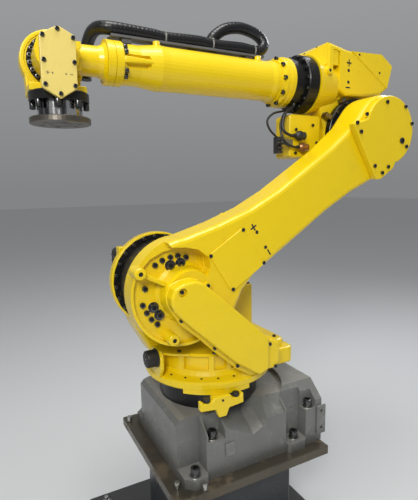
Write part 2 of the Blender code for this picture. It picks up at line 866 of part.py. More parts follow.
def build_upper_arm():
    arm = extruded("upper_arm", arm_outline(), "Y", arm_back, arm_near, arm_axis, yellow)
    soften(arm, arm_edge_round, 3)

    # The joint end is thinner than the arm, and a recess for the reducer's bolts goes
    # round the hub. One rib crosses it.
    step_y = arm_near - joint_step
    floor_y = step_y - recess_depth
    shoulder = [(0.118, 0.062), (0.089, 0.090), (0.051, 0.103), (0.022, 0.090), (0.009, 0.067),
                (-0.030, 0.050), (-0.070, 0.030), (-0.180, 0.018)]
    step = [(0.180, 0.030), (0.141, 0.030), *shoulder, (-0.180, -0.200), (0.180, -0.200)]
    recess = arc((0, 0), recess_radius, -31, -187, 18)
    recess += [(-0.070, 0.025), (-0.030, 0.045), (0.012, 0.063), (0.025, 0.087), (0.051, 0.099),
               (0.087, 0.086), (0.114, 0.058), (0.135, 0.012), (0.140, -0.030)]
    cut(arm,
        extruded("joint_end", step, "Y", step_y, arm_near + 0.1, arm_axis),
        extruded("joint_recess", recess, "Y", floor_y, arm_near + 0.1, arm_axis))

    hub = turned(
        "arm_hub",
        [(0, floor_y - 0.004), (hub_radius + 0.014, floor_y - 0.004),
         (hub_radius + 0.012, floor_y + 0.004), (hub_radius + 0.003, floor_y + 0.012),
         (hub_radius - 0.002, arm_near - 0.010), (hub_radius - 0.006, arm_near + hub_rise),
         (0, arm_near + hub_rise)],
        "Y", (0, 0), arm_axis,
    )
    bosses = [hub]
    places = {"upper": (0.137, -0.079), "lower": (-0.074, -0.109)}
    for tag, place in places.items():
        boss = disc("arm_boss_" + tag, arm_boss_radius, floor_y - 0.004,
                    arm_near + arm_boss_rise, "Y", place, arm_axis, steps=20)
        soften(boss, 0.002, 1)
        bosses.append(boss)
    rib = Vector(places["upper"]) * 0.95
    across = Vector((-rib.y, rib.x)).normalized() * 0.5 * rib_thick
    inner_end = rib.normalized() * 0.8 * hub_radius
    rib_shape = [tuple(rib + across), tuple(inner_end + across), tuple(inner_end - across),
                 tuple(rib - across)]
    ribbed = extruded("joint_rib", rib_shape, "Y", floor_y - 0.002, arm_near - 0.012, arm_axis)
    soften(ribbed, 0.002, 1)
    bosses.append(ribbed)
    lug_shape = [(0.060, 0.178), (0.097, 0.215), (0.097, 0.245), (0.060, 0.282)]
    lug = extruded("lifting_lug", lug_shape, "Y", arm_back + 0.012,
                   arm_back + 0.012 + lug_thick, arm_axis)
    fuse(arm, *bosses, lug)

    corners = [(plate_low, plate_start), (plate_high, plate_start),
               (plate_high, plate_start + plate_long), (plate_low, plate_start + plate_long)]
    plate = extruded("arm_access_plate", rounded(corners, 0.009, 2), "Y",
                     arm_near + joint_gap, arm_near + plate_thick, arm_axis, yellow)
    soften(plate, 0.001, 1)

    outline = arc((0, arm_length), elbow_cover_radius, -42, 196, 32)
    foot = arm_length - elbow_cover_foot
    outline += [(-0.117, arm_length - 0.050), (-0.116, foot + 0.018), (-0.105, foot),
                (0.102, foot)]
    cover = extruded("elbow_cover", outline, "Y", arm_near + joint_gap,
                     arm_near + elbow_cover_thick, arm_axis, yellow)
    soften(cover, 0.004, 2)


def build_elbow():
    step = knee_side + elbow_step
    turned(
        "elbow_reducer",
        [
            (0, knee_side + joint_gap),
            (elbow_reducer_radius - 0.002, knee_side + joint_gap),
            (elbow_reducer_radius, knee_side + 0.002),
            (elbow_reducer_radius, step - 0.002),
            (elbow_reducer_radius - 0.002, step),
            (elbow_core_radius, step),
            (elbow_core_radius, arm_back - bearing_gap),
            (0, arm_back - bearing_gap),
        ],
        "Y", (0, 0), elbow_axis, black, steps=48,
    )

    # The head is a long box with a sloping tail, over the elbow axis.
    under = elbow_reducer_radius + 0.004
    head = [
        (head_front - 0.022, under + 0.030),
        (head_front, under + 0.060),
        (head_front, head_top + 0.012),
        (head_front - 0.082, head_top - 0.004),
        (head_front - 0.109, head_top - 0.006),
        (-head_rear + 0.059, head_top),
        (-head_rear, head_top - 0.037),
        (-head_rear + 0.023, under + 0.040),
        (-head_rear + 0.057, under + 0.016),
        (-0.017, under + 0.003),
        (0.058, under),
    ]
    housing = extruded("elbow_housing", rounded(head[::-1], 0.012), "Y",
                       elbow_side - elbow_wide, elbow_side, elbow_axis, yellow)
    soften(housing, 0.009, 2)
    slot = rounded(
        [(head_front - 0.055, elbow_offset - 0.004), (head_front - 0.024, elbow_offset - 0.008),
         (head_front - 0.022, elbow_offset + 0.112), (head_front - 0.055, elbow_offset + 0.106)],
        0.008,
    )
    cut(housing, extruded("head_slot", slot, "Y", elbow_side - head_pocket_deep,
                          elbow_side + 0.05, elbow_axis))
    rear_cover = extruded(
        "head_rear_cover",
        [(0.037, head_top - 0.008), (-0.107, head_top - 0.002), (-head_rear + 0.004, head_top - 0.037),
         (-head_rear + 0.026, under + 0.042)],
        "Y", elbow_side - 0.004, elbow_side + head_cover_rise, elbow_axis,
    )

    # The cone flares to the roll reducer, and the knee carries the elbow reducer.
    cone = disc("head_cone", head_cone_root, head_front - 0.056, head_front + head_cone_long,
                "X", (0, elbow_offset), elbow_axis, steps=48, end=head_cone_radius)
    flare = head_front + head_cone_long - 0.004
    web = extruded(
        "head_web",
        [(head_front - 0.050, elbow_offset + 0.060), (flare, elbow_offset + 0.060),
         (flare, elbow_offset + 0.102), (head_front, elbow_offset + 0.129),
         (head_front - 0.050, elbow_offset + 0.118)],
        "Y", elbow_side - elbow_wide + 0.015, elbow_side - 0.004, elbow_axis,
    )
    corner = [(head_front - 0.004, elbow_side + 0.020), (flare + 0.020, elbow_side + 0.020),
              (flare + 0.020, -0.020), (flare - 0.002, 0.004), (head_front, elbow_side - 0.004)]
    cut(web, extruded("web_corner", corner, "Z", elbow_offset, elbow_offset + 0.2, elbow_axis))
    knuckle = arc((0, 0), knee_radius, 165, 370, 26)
    knuckle += [(knee_radius + 0.020, 0.085), (knee_radius + 0.020, under + 0.030),
                (-knee_radius + 0.012, under + 0.030)]
    knee = extruded("knee", knuckle, "Y", knee_side - knee_wide, knee_side, elbow_axis)
    soften(knee, 0.008, 2)
    boss = disc("head_boss", 0.019, 0.050, elbow_side + 0.016, "Y",
                (head_front + 0.004, elbow_offset + 0.034), elbow_axis, steps=20, end=0.012)
    fuse(housing, rear_cover, cone, web, knee, boss)

    motor_back = knee_side - knee_wide - joint_gap
    motor = disc("elbow_motor", elbow_motor_radius, motor_back - elbow_motor_long, motor_back,
                 "Y", (0, 0), elbow_axis, black)
    soften(motor, 0.006, 1)

    # Two stops stand out radially from the ring, for the arm to meet.
    start = elbow_reducer_radius + 0.0015
    for tag, angle, reach in (("upper", 62, 0.012), ("lower", 25, 0.029)):
        bar = block("elbow_stop_bar_" + tag, (start, start + reach),
                    (knee_side + joint_gap, knee_side + 0.024),
                    (-stop_bar_size / 2, stop_bar_size / 2), elbow_axis, dark_steel)
        bar.rotation_euler.y = -math.radians(angle)


def build_roll_reducer():
    start = head_front + head_cone_long + joint_gap
    step = start + roll_rim_long
    turned(
        "roll_reducer",
        [
            (0, start),
            (roll_rim_radius - 0.003, start),
            (roll_rim_radius, start + 0.003),
            (roll_rim_radius, step - 0.003),
            (roll_rim_radius - 0.003, step),
            (roll_body_radius, step),
            (roll_body_radius, step + roll_body_long),
            (0, step + roll_body_long),
        ],
        "X", (0, elbow_offset), elbow_axis, black,
    )


def build_connectors():
    """The box under the roll reducer, its two connectors and their cables."""
    x = (connector_start, box_reach)
    box = extruded(
        "connector_box",
        rounded([(x[0], -connector_drop), (x[1], -connector_drop), (x[1], connector_top),
                 (x[0], connector_top)], 0.010, 2),
        "Y", box_far, knee_side, elbow_axis, yellow,
    )
    soften(box, 0.004, 1)
    arm = extruded(
        "connector_bracket",
        [(knee_radius + joint_gap, -0.012), (x[0] - joint_gap, -0.050), (x[0] - joint_gap, 0.030),
         (knee_radius + joint_gap, 0.012)],
        "Y", box_far, knee_side - 0.020, elbow_axis, yellow,
    )
    soften(arm, 0.002, 1)

    power_z = -0.010
    signal_z = -0.047
    ends = []
    for name, radius, low, high, z in (
        ("power_connector", power_radius, 0.236, 0.270, power_z),
        ("signal_connector", signal_radius, 0.222, 0.254, signal_z),
    ):
        y = knee_side + radius + joint_gap
        fitting = disc(name, radius, low, high, "X", (y, z), elbow_axis, plastic, steps=20)
        soften(fitting, 0.002, 1)
        ends.append(high + 2.5 * joint_gap)
    reach = connector_reach
    under = elbow_offset - roll_body_radius
    body_x = head_front + head_cone_long + roll_rim_long
    pipe("power_cable",
         [(ends[0], y, power_z), (ends[0] + 0.016, y, power_z), (reach - 0.009, y - 0.004, 0.004),
          (reach - 0.009, y - 0.010, 0.034), (reach - 0.024, y - 0.016, 0.064),
          (body_x + 0.028, y - 0.020, under), (body_x + 0.026, y - 0.020, under + 0.008)],
         0.0050, elbow_axis, rubber)
    pipe("signal_cable",
         [(ends[1], y, signal_z), (ends[1] + 0.020, y, signal_z),
          (reach - 0.022, y - 0.005, -0.036), (reach - 0.008, y - 0.013, -0.012),
          (reach - 0.009, y - 0.023, 0.020), (reach - 0.022, y - 0.030, 0.052),
          (reach - 0.040, y - 0.033, 0.074), (body_x + 0.030, y - 0.035, under - 0.004),
          (body_x + 0.026, y - 0.036, under + 0.0005)],
         0.0040, elbow_axis, rubber)


flange_start = head_front + head_cone_long + roll_rim_long + roll_body_long + joint_gap
flange_start += bearing_gap
flange_end = flange_start + rear_flange_long
taper_start = forearm_length - tube_end
neck_front = forearm_length - neck_end
fork_start = neck_front + 2 * front_flange_long + joint_gap


def build_forearm():
    radius = rear_flange_radius
    turned(
        "forearm_rear_flange",
        [
            (0, flange_start),
            (radius - 0.001, flange_start),
            (radius, flange_start + 0.001),
            (radius, flange_start + 0.019),
            (radius - 0.002, flange_start + 0.020),
            (radius - 0.002, flange_start + 0.036),
            (radius - 0.006, flange_start + 0.038),
            (tube_radius + 0.009, flange_start + 0.040),
            (tube_radius + 0.008, flange_end),
            (0, flange_end),
        ],
        "X", (0, 0), roll_axis, yellow,
    )
    tube = turned(
        "forearm_tube",
        [
            (0, flange_end + joint_gap),
            (tube_radius + 0.004, flange_end + joint_gap),
            (tube_radius + 0.004, flange_end + 0.014),
            (tube_radius, flange_end + 0.030),
            (tube_radius, taper_start - 0.040),
            (tube_radius + 0.002, taper_start - 0.015),
            (neck_radius, taper_start + 0.045),
            (neck_radius, neck_front),
            (0, neck_front),
        ],
        "X", (0, 0), roll_axis, yellow,
    )
    # Long shallow pockets either side of the neck, and two bosses on top.
    pocket_x = (taper_start + 0.020, neck_front - 0.006)
    pockets = []
    for tag, y in both_sides(neck_radius - 0.010, neck_radius + 0.05):
        pocket = block("neck_pocket_" + tag, pocket_x, y, (-0.020, 0.016), roll_axis)
        soften(pocket, 0.005, 1)
        pockets.append(pocket)
    cut(tube, *pockets)
    bosses = []
    for tag, x in (("rear", flange_end + 0.060), ("front", taper_start - 0.140)):
        boss = disc("tube_boss_" + tag, 0.017, 0.020, tube_radius + 0.003, "Z", (x, -0.022),
                    roll_axis, steps=20)
        bosses.append(boss)
    fuse(tube, *bosses)

    radius = front_flange_radius
    groove = neck_front + front_flange_long
    turned(
        "forearm_front_flange",
        [
            (0, neck_front + joint_gap),
            (radius, neck_front + joint_gap),
            (radius, groove - 0.001),
            (radius - 0.003, groove),
            (radius, groove + 0.001),
            (radius, fork_start - joint_gap),
            (0, fork_start - joint_gap),
        ],
        "X", (0, 0), roll_axis, yellow,
    )


def build_wrist_fork():
    """The neck and the round tongue that the wrist bends on."""
    neck = turned(
        "wrist_fork",
        [
            (0, fork_start),
            (fork_radius + 0.012, fork_start),
            (fork_radius + 0.004, fork_start + 0.008),
            (fork_radius, fork_start + 0.020),
            (fork_radius - 0.001, forearm_length - 0.050),
            (0, forearm_length - 0.050),
        ],
        "X", (0, 0), roll_axis, yellow,
    )
    tongue = disc("tongue", tongue_radius, -tongue_half, tongue_half, "Y",
                  (forearm_length, 0), roll_axis)
    soften(tongue, 0.002, 1)
    neck_core = block("tongue_core", (forearm_length - 0.060, forearm_length - 0.020),
                      (-0.036, 0.036), (-0.036, 0.036), roll_axis)
    fuse(neck, neck_core, tongue)


def build_hose():
    tray_z = tube_radius + tray_gap
    front = forearm_length - tray_front
    rear = tray_rear
    tray = block("hose_tray", (rear, front), (-tray_half, tray_half),
                 (tray_z, tray_z + tray_thick), roll_axis, steel)
    lips = []
    for tag, y in both_sides(tray_half - tray_thick, tray_half):
        lips.append(block("tray_lip_" + tag, (rear, front), y,
                          (tray_z + 0.001, tray_z + tray_thick + 0.0035), roll_axis))
    fuse(tray, *lips)
    post = 0.014
    for name, x, seat in (
        ("hose_tray_front_post", front - 0.060, neck_radius + 0.0004),
        ("hose_tray_rear_post", rear + 0.040, tube_radius + 0.0004),
    ):
        block(name, (x, x + 2 * post), (-post, post), (seat, tray_z - joint_gap), roll_axis,
              steel)

    z = tray_z + tray_thick + hose_radius + 0.001
    end = forearm_length
    pipe("hose_run",
         [
             (end - 0.104, -0.132, -0.020),
             (end - 0.106, -0.130, 0.030),
             (end - 0.110, -0.100, 0.080),
             (end - 0.118, -0.045, z + 0.008),
             (end - 0.146, 0, z + 0.003),
             (end - 0.256, 0, z),
             (end - 0.376, 0, z + 0.003),
             (end - 0.496, 0, z),
             (loop_start + 0.040, 0, z),
             (loop_start + joint_gap, 0, z),
         ],
         hose_radius, roll_axis, rubber)
    pipe("hose_loop",
         [
             (loop_start, 0, z),
             (loop_start - 0.015, 0, z),
             (loop_start - 0.035, 0.002, z + 0.006),
             (loop_start - 0.052, 0.010, z + 0.026),
             (loop_start - 0.030, 0.022, z + 0.060),
             (loop_start + 0.040, 0.030, z + 0.070),
             (loop_start + 0.100, 0.036, z + 0.045),
             (loop_start + 0.118, 0.036, z + 0.010),
         ],
         hose_radius, roll_axis, rubber)
    seat = math.sqrt(tube_radius**2 - 0.0205**2) + 0.0004
    block("hose_end_clamp", (loop_start + 0.098, loop_start + 0.138), (0.0205, 0.052),
          (seat, z - 0.004), roll_axis, steel)


def build_wrist():
    """A yoke round the tongue: a far disc, a slab under it and a near cheek."""
    inner = tongue_half + bearing_gap
    slab_low = slab_top + slab_thick
    disc_shape = arc((0, 0), wrist_disc_radius, -28, 208, 34)
    disc_shape += [(-slab_rear + 0.004, -slab_low + 0.003), (slab_front - 0.004, -slab_low + 0.003)]
    housing = extruded("wrist_housing", disc_shape[::-1], "Y", -inner - wrist_disc_thick,
                       -inner - 0.004, wrist_axis, yellow)
    soften(housing, 0.004, 2)
    slab_shape = rounded([(-slab_rear, -slab_low), (slab_front, -slab_low),
                          (slab_front, -slab_top), (-slab_rear, -slab_top)], 0.004, 2)
    slab = extruded("wrist_slab", slab_shape[::-1], "Y", -inner - 0.030, slab_near, wrist_axis)
    soften(slab, 0.002, 1)
    foot_shape = [(-0.030, -slab_low + 0.001), (0.046, -slab_low + 0.001),
                  (0.046, -slab_top + 0.008), (-0.030, -slab_top + 0.008)]
    foot = extruded("cheek_foot", foot_shape[::-1], "Y", slab_near - 0.010, wrist_near - 0.002,
                    wrist_axis)
    cheek_shape = rounded(
        [(0.006, 0.041), (-0.029, 0.024), (-0.030, -slab_low + 0.002),
         (0.046, -slab_low + 0.002), (0.044, 0.019)], 0.008)
    cheek = extruded("wrist_cheek", cheek_shape[::-1], "Y", inner, wrist_near, wrist_axis)
    soften(cheek, 0.002, 1)
    fuse(housing, slab, cheek, foot)

    ring = turned(
        "wrist_far_hub",
        [
            (0, -inner - 0.004 + joint_gap),
            (wrist_ring_radius, -inner - 0.004 + joint_gap),
            (wrist_ring_radius, -inner - 0.001),
            (wrist_ring_radius - 0.003, -inner),
            (0, -inner),
        ],
        "Y", (0, 0), wrist_axis, yellow,
    )
    hexagon = rounded(
        [(0.006, 0.047), (-0.035, 0.027), (-0.034, -0.096), (0.008, -0.124),
         (0.051, -0.099), (0.050, 0.022)], 0.008)
    cover = extruded("wrist_side_cover", hexagon[::-1], "Y", wrist_near + joint_gap,
                     wrist_near + hex_thick, wrist_axis, pale_yellow)
    soften(cover, 0.002, 2)
    low = -slab_low - collar_thick
    flat = math.degrees(math.asin((wrist_near - 0.004 - tool_axis_y) / collar_radius))
    collar = extruded("tool_collar", arc((0, tool_axis_y), collar_radius, 180 - flat, 360 + flat, 40),
                      "Z", low, -slab_low - joint_gap, wrist_axis, black)
    soften(collar, 0.002, 1)


def build_tool():
    drum_top_z = -slab_top - slab_thick - collar_thick - bearing_gap
    plate_top_z = -tool_face + tool_plate_thick
    turned(
        "tool_drum",
        [
            (0, plate_top_z),
            (tool_drum_radius, plate_top_z),
            (tool_drum_radius, drum_top_z - 0.020),
            (tool_drum_radius - 0.002, drum_top_z - 0.019),
            (tool_drum_radius - 0.002, drum_top_z),
            (0, drum_top_z),
        ],
        "Z", (0, 0), tool_axis, dark_steel,
    )
    plate = disc("tool_plate", tool_plate_radius, -tool_face, plate_top_z - joint_gap, "Z",
                 (0, 0), tool_axis, dark_steel, steps=48)
    soften(plate, 0.002, 1)


build_pedestal()
build_base()
build_carousel()
build_carousel_fittings()
build_cable_cover()
build_stop_bracket()
build_upper_arm()
build_elbow()
build_roll_reducer()
build_connectors()
build_forearm()
build_wrist_fork()
build_hose()
build_wrist()
build_tool()
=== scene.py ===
# %% [markdown]
# # A six axis industrial robot arm
#
# This lesson dresses the model of a yellow factory robot. It stands on a grey cast base,
# which is bolted to a steel plate on a pedestal. The solids come from CAD, already in
# their places, so this file never moves them. It gives each one a painted, steel or rubber
# finish, and it adds the small parts that a plain solid leaves out, such as bolts,
# screws, the braid of the hose, cable ties and the axis marks.

# %% Start: the CAD solids come in
import json
import math

import bpy
from mathutils import Matrix, Vector


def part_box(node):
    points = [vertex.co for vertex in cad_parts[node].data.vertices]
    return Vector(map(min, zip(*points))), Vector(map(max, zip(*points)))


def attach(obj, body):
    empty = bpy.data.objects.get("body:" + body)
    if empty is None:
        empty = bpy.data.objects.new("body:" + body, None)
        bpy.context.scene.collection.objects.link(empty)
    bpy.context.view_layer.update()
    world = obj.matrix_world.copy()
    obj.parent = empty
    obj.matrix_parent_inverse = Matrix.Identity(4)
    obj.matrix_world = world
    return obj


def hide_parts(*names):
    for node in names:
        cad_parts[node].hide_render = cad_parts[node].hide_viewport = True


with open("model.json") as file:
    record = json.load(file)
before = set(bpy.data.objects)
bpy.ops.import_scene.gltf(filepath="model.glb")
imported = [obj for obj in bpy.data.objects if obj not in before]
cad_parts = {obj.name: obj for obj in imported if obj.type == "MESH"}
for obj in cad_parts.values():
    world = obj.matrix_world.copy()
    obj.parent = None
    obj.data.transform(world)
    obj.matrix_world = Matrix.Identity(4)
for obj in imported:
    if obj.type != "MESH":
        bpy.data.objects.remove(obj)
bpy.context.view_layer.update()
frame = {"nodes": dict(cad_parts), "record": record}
nodes = frame["nodes"]

# %% [markdown]
# The camera stands where the photographer stood. It was fitted to the photograph with
# the arm's known lengths: it looks down a little from about chest height, and it is turned
# about the upright by 27 degrees. The picture is taller than it is wide, so the lens is
# set against the height of the sensor.

# %% The camera
photo_width = 418
photo_height = 500
camera_place = Vector((0.6259, 1.2302, 1.2685))
camera_yaw = 0.4790
camera_pitch = 0.1486
camera_roll = -0.0183
sensor = 36.0
focal_pixels = 424.5


def camera_axes(yaw, pitch, roll):
    """Right, up and forward for a camera that is turned, tipped down and then rolled."""
    forward = Vector((
        -math.sin(yaw) * math.cos(pitch),
        -math.cos(yaw) * math.cos(pitch),
        -math.sin(pitch),
    ))
    level = forward.cross(Vector((0, 0, 1))).normalized()
    upright = level.cross(forward)
    right = math.cos(roll) * level + math.sin(roll) * upright
    up = math.cos(roll) * upright - math.sin(roll) * level
    return right, up, forward


right, up, forward = camera_axes(camera_yaw, camera_pitch, camera_roll)
lens = bpy.data.cameras.new("photo_camera")
lens.sensor_fit = "VERTICAL"
lens.sensor_height = sensor
lens.lens = focal_pixels * sensor / photo_height
camera = bpy.data.objects.new("photo_camera", lens)
bpy.context.scene.collection.objects.link(camera)
turning = Matrix((right, up, -forward)).transposed().to_4x4()
camera.matrix_world = Matrix.Translation(camera_place) @ turning
bpy.context.scene.camera = camera
print("lens: %.1f mm for a %d x %d picture" % (lens.lens, photo_width, photo_height))

# %% [markdown]
# A studio light is soft and plain. A pale world lights the robot from all round, a
# little weaker near the horizon than overhead. Three area lamps shape it: a wide one
# overhead, the key from high behind the camera and a weaker one from behind the robot.

# %% The world and the lamps
world = bpy.data.worlds.new("studio")
bpy.context.scene.world = world
world.use_nodes = True
sky = world.node_tree
horizon_strength = 0.235
overhead_strength = 0.33
backdrop = sky.nodes["Background"]
direction = sky.nodes.new("ShaderNodeTexCoord")
sky_height = sky.nodes.new("ShaderNodeSeparateXYZ")
fade = sky.nodes.new("ShaderNodeMapRange")
fade.inputs["From Min"].default_value = 0.0
fade.inputs["From Max"].default_value = 0.35
fade.inputs["To Min"].default_value = horizon_strength
fade.inputs["To Max"].default_value = overhead_strength
sky.links.new(direction.outputs["Generated"], sky_height.inputs["Vector"])
sky.links.new(sky_height.outputs["Z"], fade.inputs["Value"])
sky.links.new(fade.outputs["Result"], backdrop.inputs["Strength"])
backdrop.inputs["Color"].default_value = (0.97, 0.985, 1.0, 1.0)
bpy.context.scene.view_settings.view_transform = "Standard"


def area_lamp(name, place, target, size, power, colour):
    """A square soft lamp that faces the target."""
    data = bpy.data.lights.new(name, "AREA")
    data.shape = "SQUARE"
    data.size = size
    data.energy = power
    data.color = colour
    lamp = bpy.data.objects.new(name, data)
    bpy.context.scene.collection.objects.link(lamp)
    lamp.location = place
    aim = Vector(target) - Vector(place)
    lamp.rotation_euler = aim.to_track_quat("-Z", "Y").to_euler()


area_lamp("top_lamp", (0.3, 0.6, 4.2), (-0.1, 0.0, 0.6), 1.5, 64, (1.0, 0.99, 0.97))
area_lamp("key_lamp", (1.9, 2.7, 3.0), (-0.1, 0.1, 1.0), 1.0, 98, (1.0, 0.98, 0.94))
area_lamp("rim_lamp", (-2.6, -0.6, 3.2), (-0.1, 0.0, 1.3), 1.2, 45, (0.92, 0.96, 1.0))

# %% [markdown]
# The robot stands on a plain pale floor. The floor isn't part of the object.

# %% The floor
floor_size = 60
floor_drop = 0.0005
bpy.ops.mesh.primitive_plane_add(size=floor_size, location=(0, 0, -floor_drop))
stage_floor = bpy.context.object
stage_floor.name = "studio_floor"
floor_look = bpy.data.materials.new("studio_floor")
floor_look.use_nodes = True
floor_surface = floor_look.node_tree.nodes["Principled BSDF"]
floor_surface.inputs["Base Color"].default_value = (0.60, 0.61, 0.62, 1.0)
floor_surface.inputs["Roughness"].default_value = 0.9
floor_surface.inputs["Specular IOR Level"].default_value = 0.1
stage_floor.data.materials.append(floor_look)
print("floor at z =", round(stage_floor.location.z, 4))

# %% [markdown]
# Every finish starts from the same small kit of nodes. Object coordinates give a point
# its place on the robot in metres, a noise makes patches of the right size, and a ramp
# turns the noise into a mask. A bump from fine noise gives the surface its grain.

# %% A kit of nodes for the finishes


class Finish:
    """A material with a few short ways to add nodes to it."""

    def __init__(self, name, colour, roughness, metallic=0.0):
        self.material = bpy.data.materials.new(name)
        self.material.use_nodes = True
        self.material.diffuse_color = (*colour, 1.0)
        self.tree = self.material.node_tree
        self.surface = self.tree.nodes["Principled BSDF"]
        self.surface.inputs["Base Color"].default_value = (*colour, 1.0)
        self.surface.inputs["Roughness"].default_value = roughness
        self.surface.inputs["Metallic"].default_value = metallic
        place = self.tree.nodes.new("ShaderNodeTexCoord")
        self.place = place.outputs["Object"]
        self.colour = None
        self.colour_value = (*colour, 1.0)

    def link(self, start, end):
        self.tree.links.new(start, end)

    def noise(self, scale, detail=3.0, stretch=None, roughness=0.5):
        """Soft patches: scale is about how many of them fit in a metre."""
        made = self.tree.nodes.new("ShaderNodeTexNoise")
        made.inputs["Scale"].default_value = scale
        made.inputs["Detail"].default_value = detail
        made.inputs["Roughness"].default_value = roughness
        source = self.place
        if stretch is not None:
            mapping = self.tree.nodes.new("ShaderNodeMapping")
            mapping.inputs["Scale"].default_value = stretch
            self.link(self.place, mapping.inputs["Vector"])
            source = mapping.outputs["Vector"]
        self.link(source, made.inputs["Vector"])
        return made.outputs["Fac"]

    def ramp(self, value, low, high, start=0.0, end=1.0):
        """From start to end as the value goes from low to high, held at both ends."""
        made = self.tree.nodes.new("ShaderNodeMapRange")
        made.interpolation_type = "SMOOTHSTEP"
        made.inputs["From Min"].default_value = low
        made.inputs["From Max"].default_value = high
        made.inputs["To Min"].default_value = start
        made.inputs["To Max"].default_value = end
        self.link(value, made.inputs["Value"])
        return made.outputs["Result"]

    def maths(self, operation, first, second):
        """One step of arithmetic on two values, each a socket or a plain number."""
        made = self.tree.nodes.new("ShaderNodeMath")
        made.operation = operation
        for socket, value in zip(made.inputs, (first, second)):
            if isinstance(value, (int, float)):
                socket.default_value = value
            else:
                self.link(value, socket)
        return made.outputs["Value"]

    def axis(self, letter):
        """How far a point lies along X, Y or Z, in metres."""
        made = self.tree.nodes.new("ShaderNodeSeparateXYZ")
        self.link(self.place, made.inputs["Vector"])
        return made.outputs[letter]

    def facing_up(self):
        """1 where a face looks straight up, and 0 where it is upright."""
        made = self.tree.nodes.new("ShaderNodeTexCoord")
        split = self.tree.nodes.new("ShaderNodeSeparateXYZ")
        self.link(made.outputs["Normal"], split.inputs["Vector"])
        return split.outputs["Z"]

    def near(self, point, inner, outer):
        """1 within inner metres of a point, and 0 beyond outer."""
        made = self.tree.nodes.new("ShaderNodeVectorMath")
        made.operation = "DISTANCE"
        self.link(self.place, made.inputs[0])
        made.inputs[1].default_value = point
        return self.ramp(made.outputs["Value"], inner, outer, 1.0, 0.0)

    def tint(self, mask, colour):
        """Mixes a colour in where the mask is bright."""
        mix = self.tree.nodes.new("ShaderNodeMix")
        mix.data_type = "RGBA"
        if self.colour is None:
            mix.inputs["A"].default_value = self.colour_value
        else:
            self.link(self.colour, mix.inputs["A"])
        mix.inputs["B"].default_value = (*colour, 1.0)
        self.link(mask, mix.inputs["Factor"])
        self.colour = mix.outputs["Result"]
        self.link(self.colour, self.surface.inputs["Base Color"])
        return self

    def gloss(self, mask, low, high):
        """Roughness from low to high as the mask goes from 0 to 1."""
        self.link(self.ramp(mask, 0.0, 1.0, low, high), self.surface.inputs["Roughness"])
        return self

    def bump(self, height, strength, distance):
        """Raises the surface by up to distance metres, on top of any earlier bump."""
        made = self.tree.nodes.new("ShaderNodeBump")
        made.inputs["Strength"].default_value = strength
        made.inputs["Distance"].default_value = distance
        self.link(height, made.inputs["Height"])
        earlier = self.surface.inputs["Normal"].links
        if earlier:
            self.link(earlier[0].from_socket, made.inputs["Normal"])
        self.link(made.outputs["Normal"], self.surface.inputs["Normal"])
        return self


print("finish kit ready")

# %% [markdown]
# The yellow is a thick gloss paint over castings. It follows the slight lumps of the
# casting, it has the fine orange peel of sprayed paint, and it is a little duller and
# browner in patches where oil and dust have settled. Near the two big joints there is more
# of this grime.

# %% The yellow paint
yellow_colour = (0.80, 0.580, 0.003)
grime_colour = (0.30, 0.20, 0.03)
lean_point = Vector((0.150, 0.0, 0.975))
elbow_point = Vector((-0.58375, 0.0, 1.44245))


def gloss_paint(name, colour, grime, lumps, low=0.22, high=0.42):
    made = Finish(name, colour, low)
    fade = made.ramp(made.noise(2.3, 4), 0.35, 0.75, 0.0, 0.30)
    made.tint(fade, tuple(0.86 * part for part in colour))
    smudge = made.ramp(made.noise(14, 6, roughness=0.62), 0.56, 0.78, 0.0, 0.5)
    close = made.maths("MAXIMUM", made.near(lean_point, 0.10, 0.26),
                       made.near(elbow_point, 0.08, 0.24))
    close = made.maths("MULTIPLY_ADD", close, grime)
    made.tree.nodes[-1].inputs[2].default_value = 0.25 * grime  # the grime away from the joints
    made.tint(made.maths("MULTIPLY", smudge, close), grime_colour)
    specks = made.ramp(made.noise(160, 2), 0.72, 0.80, 0.0, 0.35)
    made.tint(made.maths("MULTIPLY", specks, smudge), (0.05, 0.04, 0.02))
    made.gloss(made.noise(9, 4), low, high)
    made.bump(made.noise(22, 3), 0.35, lumps)
    made.bump(made.noise(420, 2), 0.10, 0.0006)
    made.surface.inputs["Coat Weight"].default_value = 0.20
    made.surface.inputs["Coat Roughness"].default_value = 0.12
    return made.material


yellow_paint = gloss_paint("yellow_paint", yellow_colour, 0.8, 0.0030)
smooth_yellow = gloss_paint("smooth_yellow_paint", yellow_colour, 0.5, 0.0012)
pale_yellow = gloss_paint("pale_yellow_paint", (0.72, 0.575, 0.150), 0.4, 0.0030, 0.36, 0.55)
print("paints:", yellow_paint.name, smooth_yellow.name, pale_yellow.name)

# %% [markdown]
# The base is a grey iron casting with a duller paint. Its grain is coarser than the
# yellow's. Dust lies on it in pale patches. The faces that look up are painted paler, partly
# as dust and partly as painted light from above, and it is darker towards its foot. The
# pedestal wears charcoal paint of the same kind.

# %% The grey and charcoal paints


def dull_paint(name, colour, dust_and_top_light, grain, low):
    made = Finish(name, colour, 0.5)
    patch = made.ramp(made.noise(5, 5), 0.40, 0.70, 0.0, 0.45)
    made.tint(patch, tuple(0.72 * part for part in colour))
    settled = made.ramp(made.noise(26, 6, roughness=0.65), 0.52, 0.74, 0.0, 0.42)
    made.tint(settled, dust_and_top_light)
    # faces that look up are painted paler: dust and painted light from above
    top_light_and_dust = made.ramp(made.facing_up(), 0.80, 0.97, 0.0, 0.50)
    made.tint(top_light_and_dust, dust_and_top_light)
    # the colour darkens towards the foot
    darker_foot = made.ramp(made.axis("Z"), low, low + 0.07, 0.45, 0.0)
    made.tint(darker_foot, (0.030, 0.026, 0.022))
    chips = made.ramp(made.noise(95, 2), 0.735, 0.76, 0.0, 0.7)
    made.tint(chips, (0.16, 0.15, 0.14))
    made.gloss(made.noise(12, 4), 0.20, 0.42)
    made.bump(made.noise(60, 4), grain, 0.0015)
    made.bump(made.noise(500, 2), 0.16, 0.0006)
    return made.material


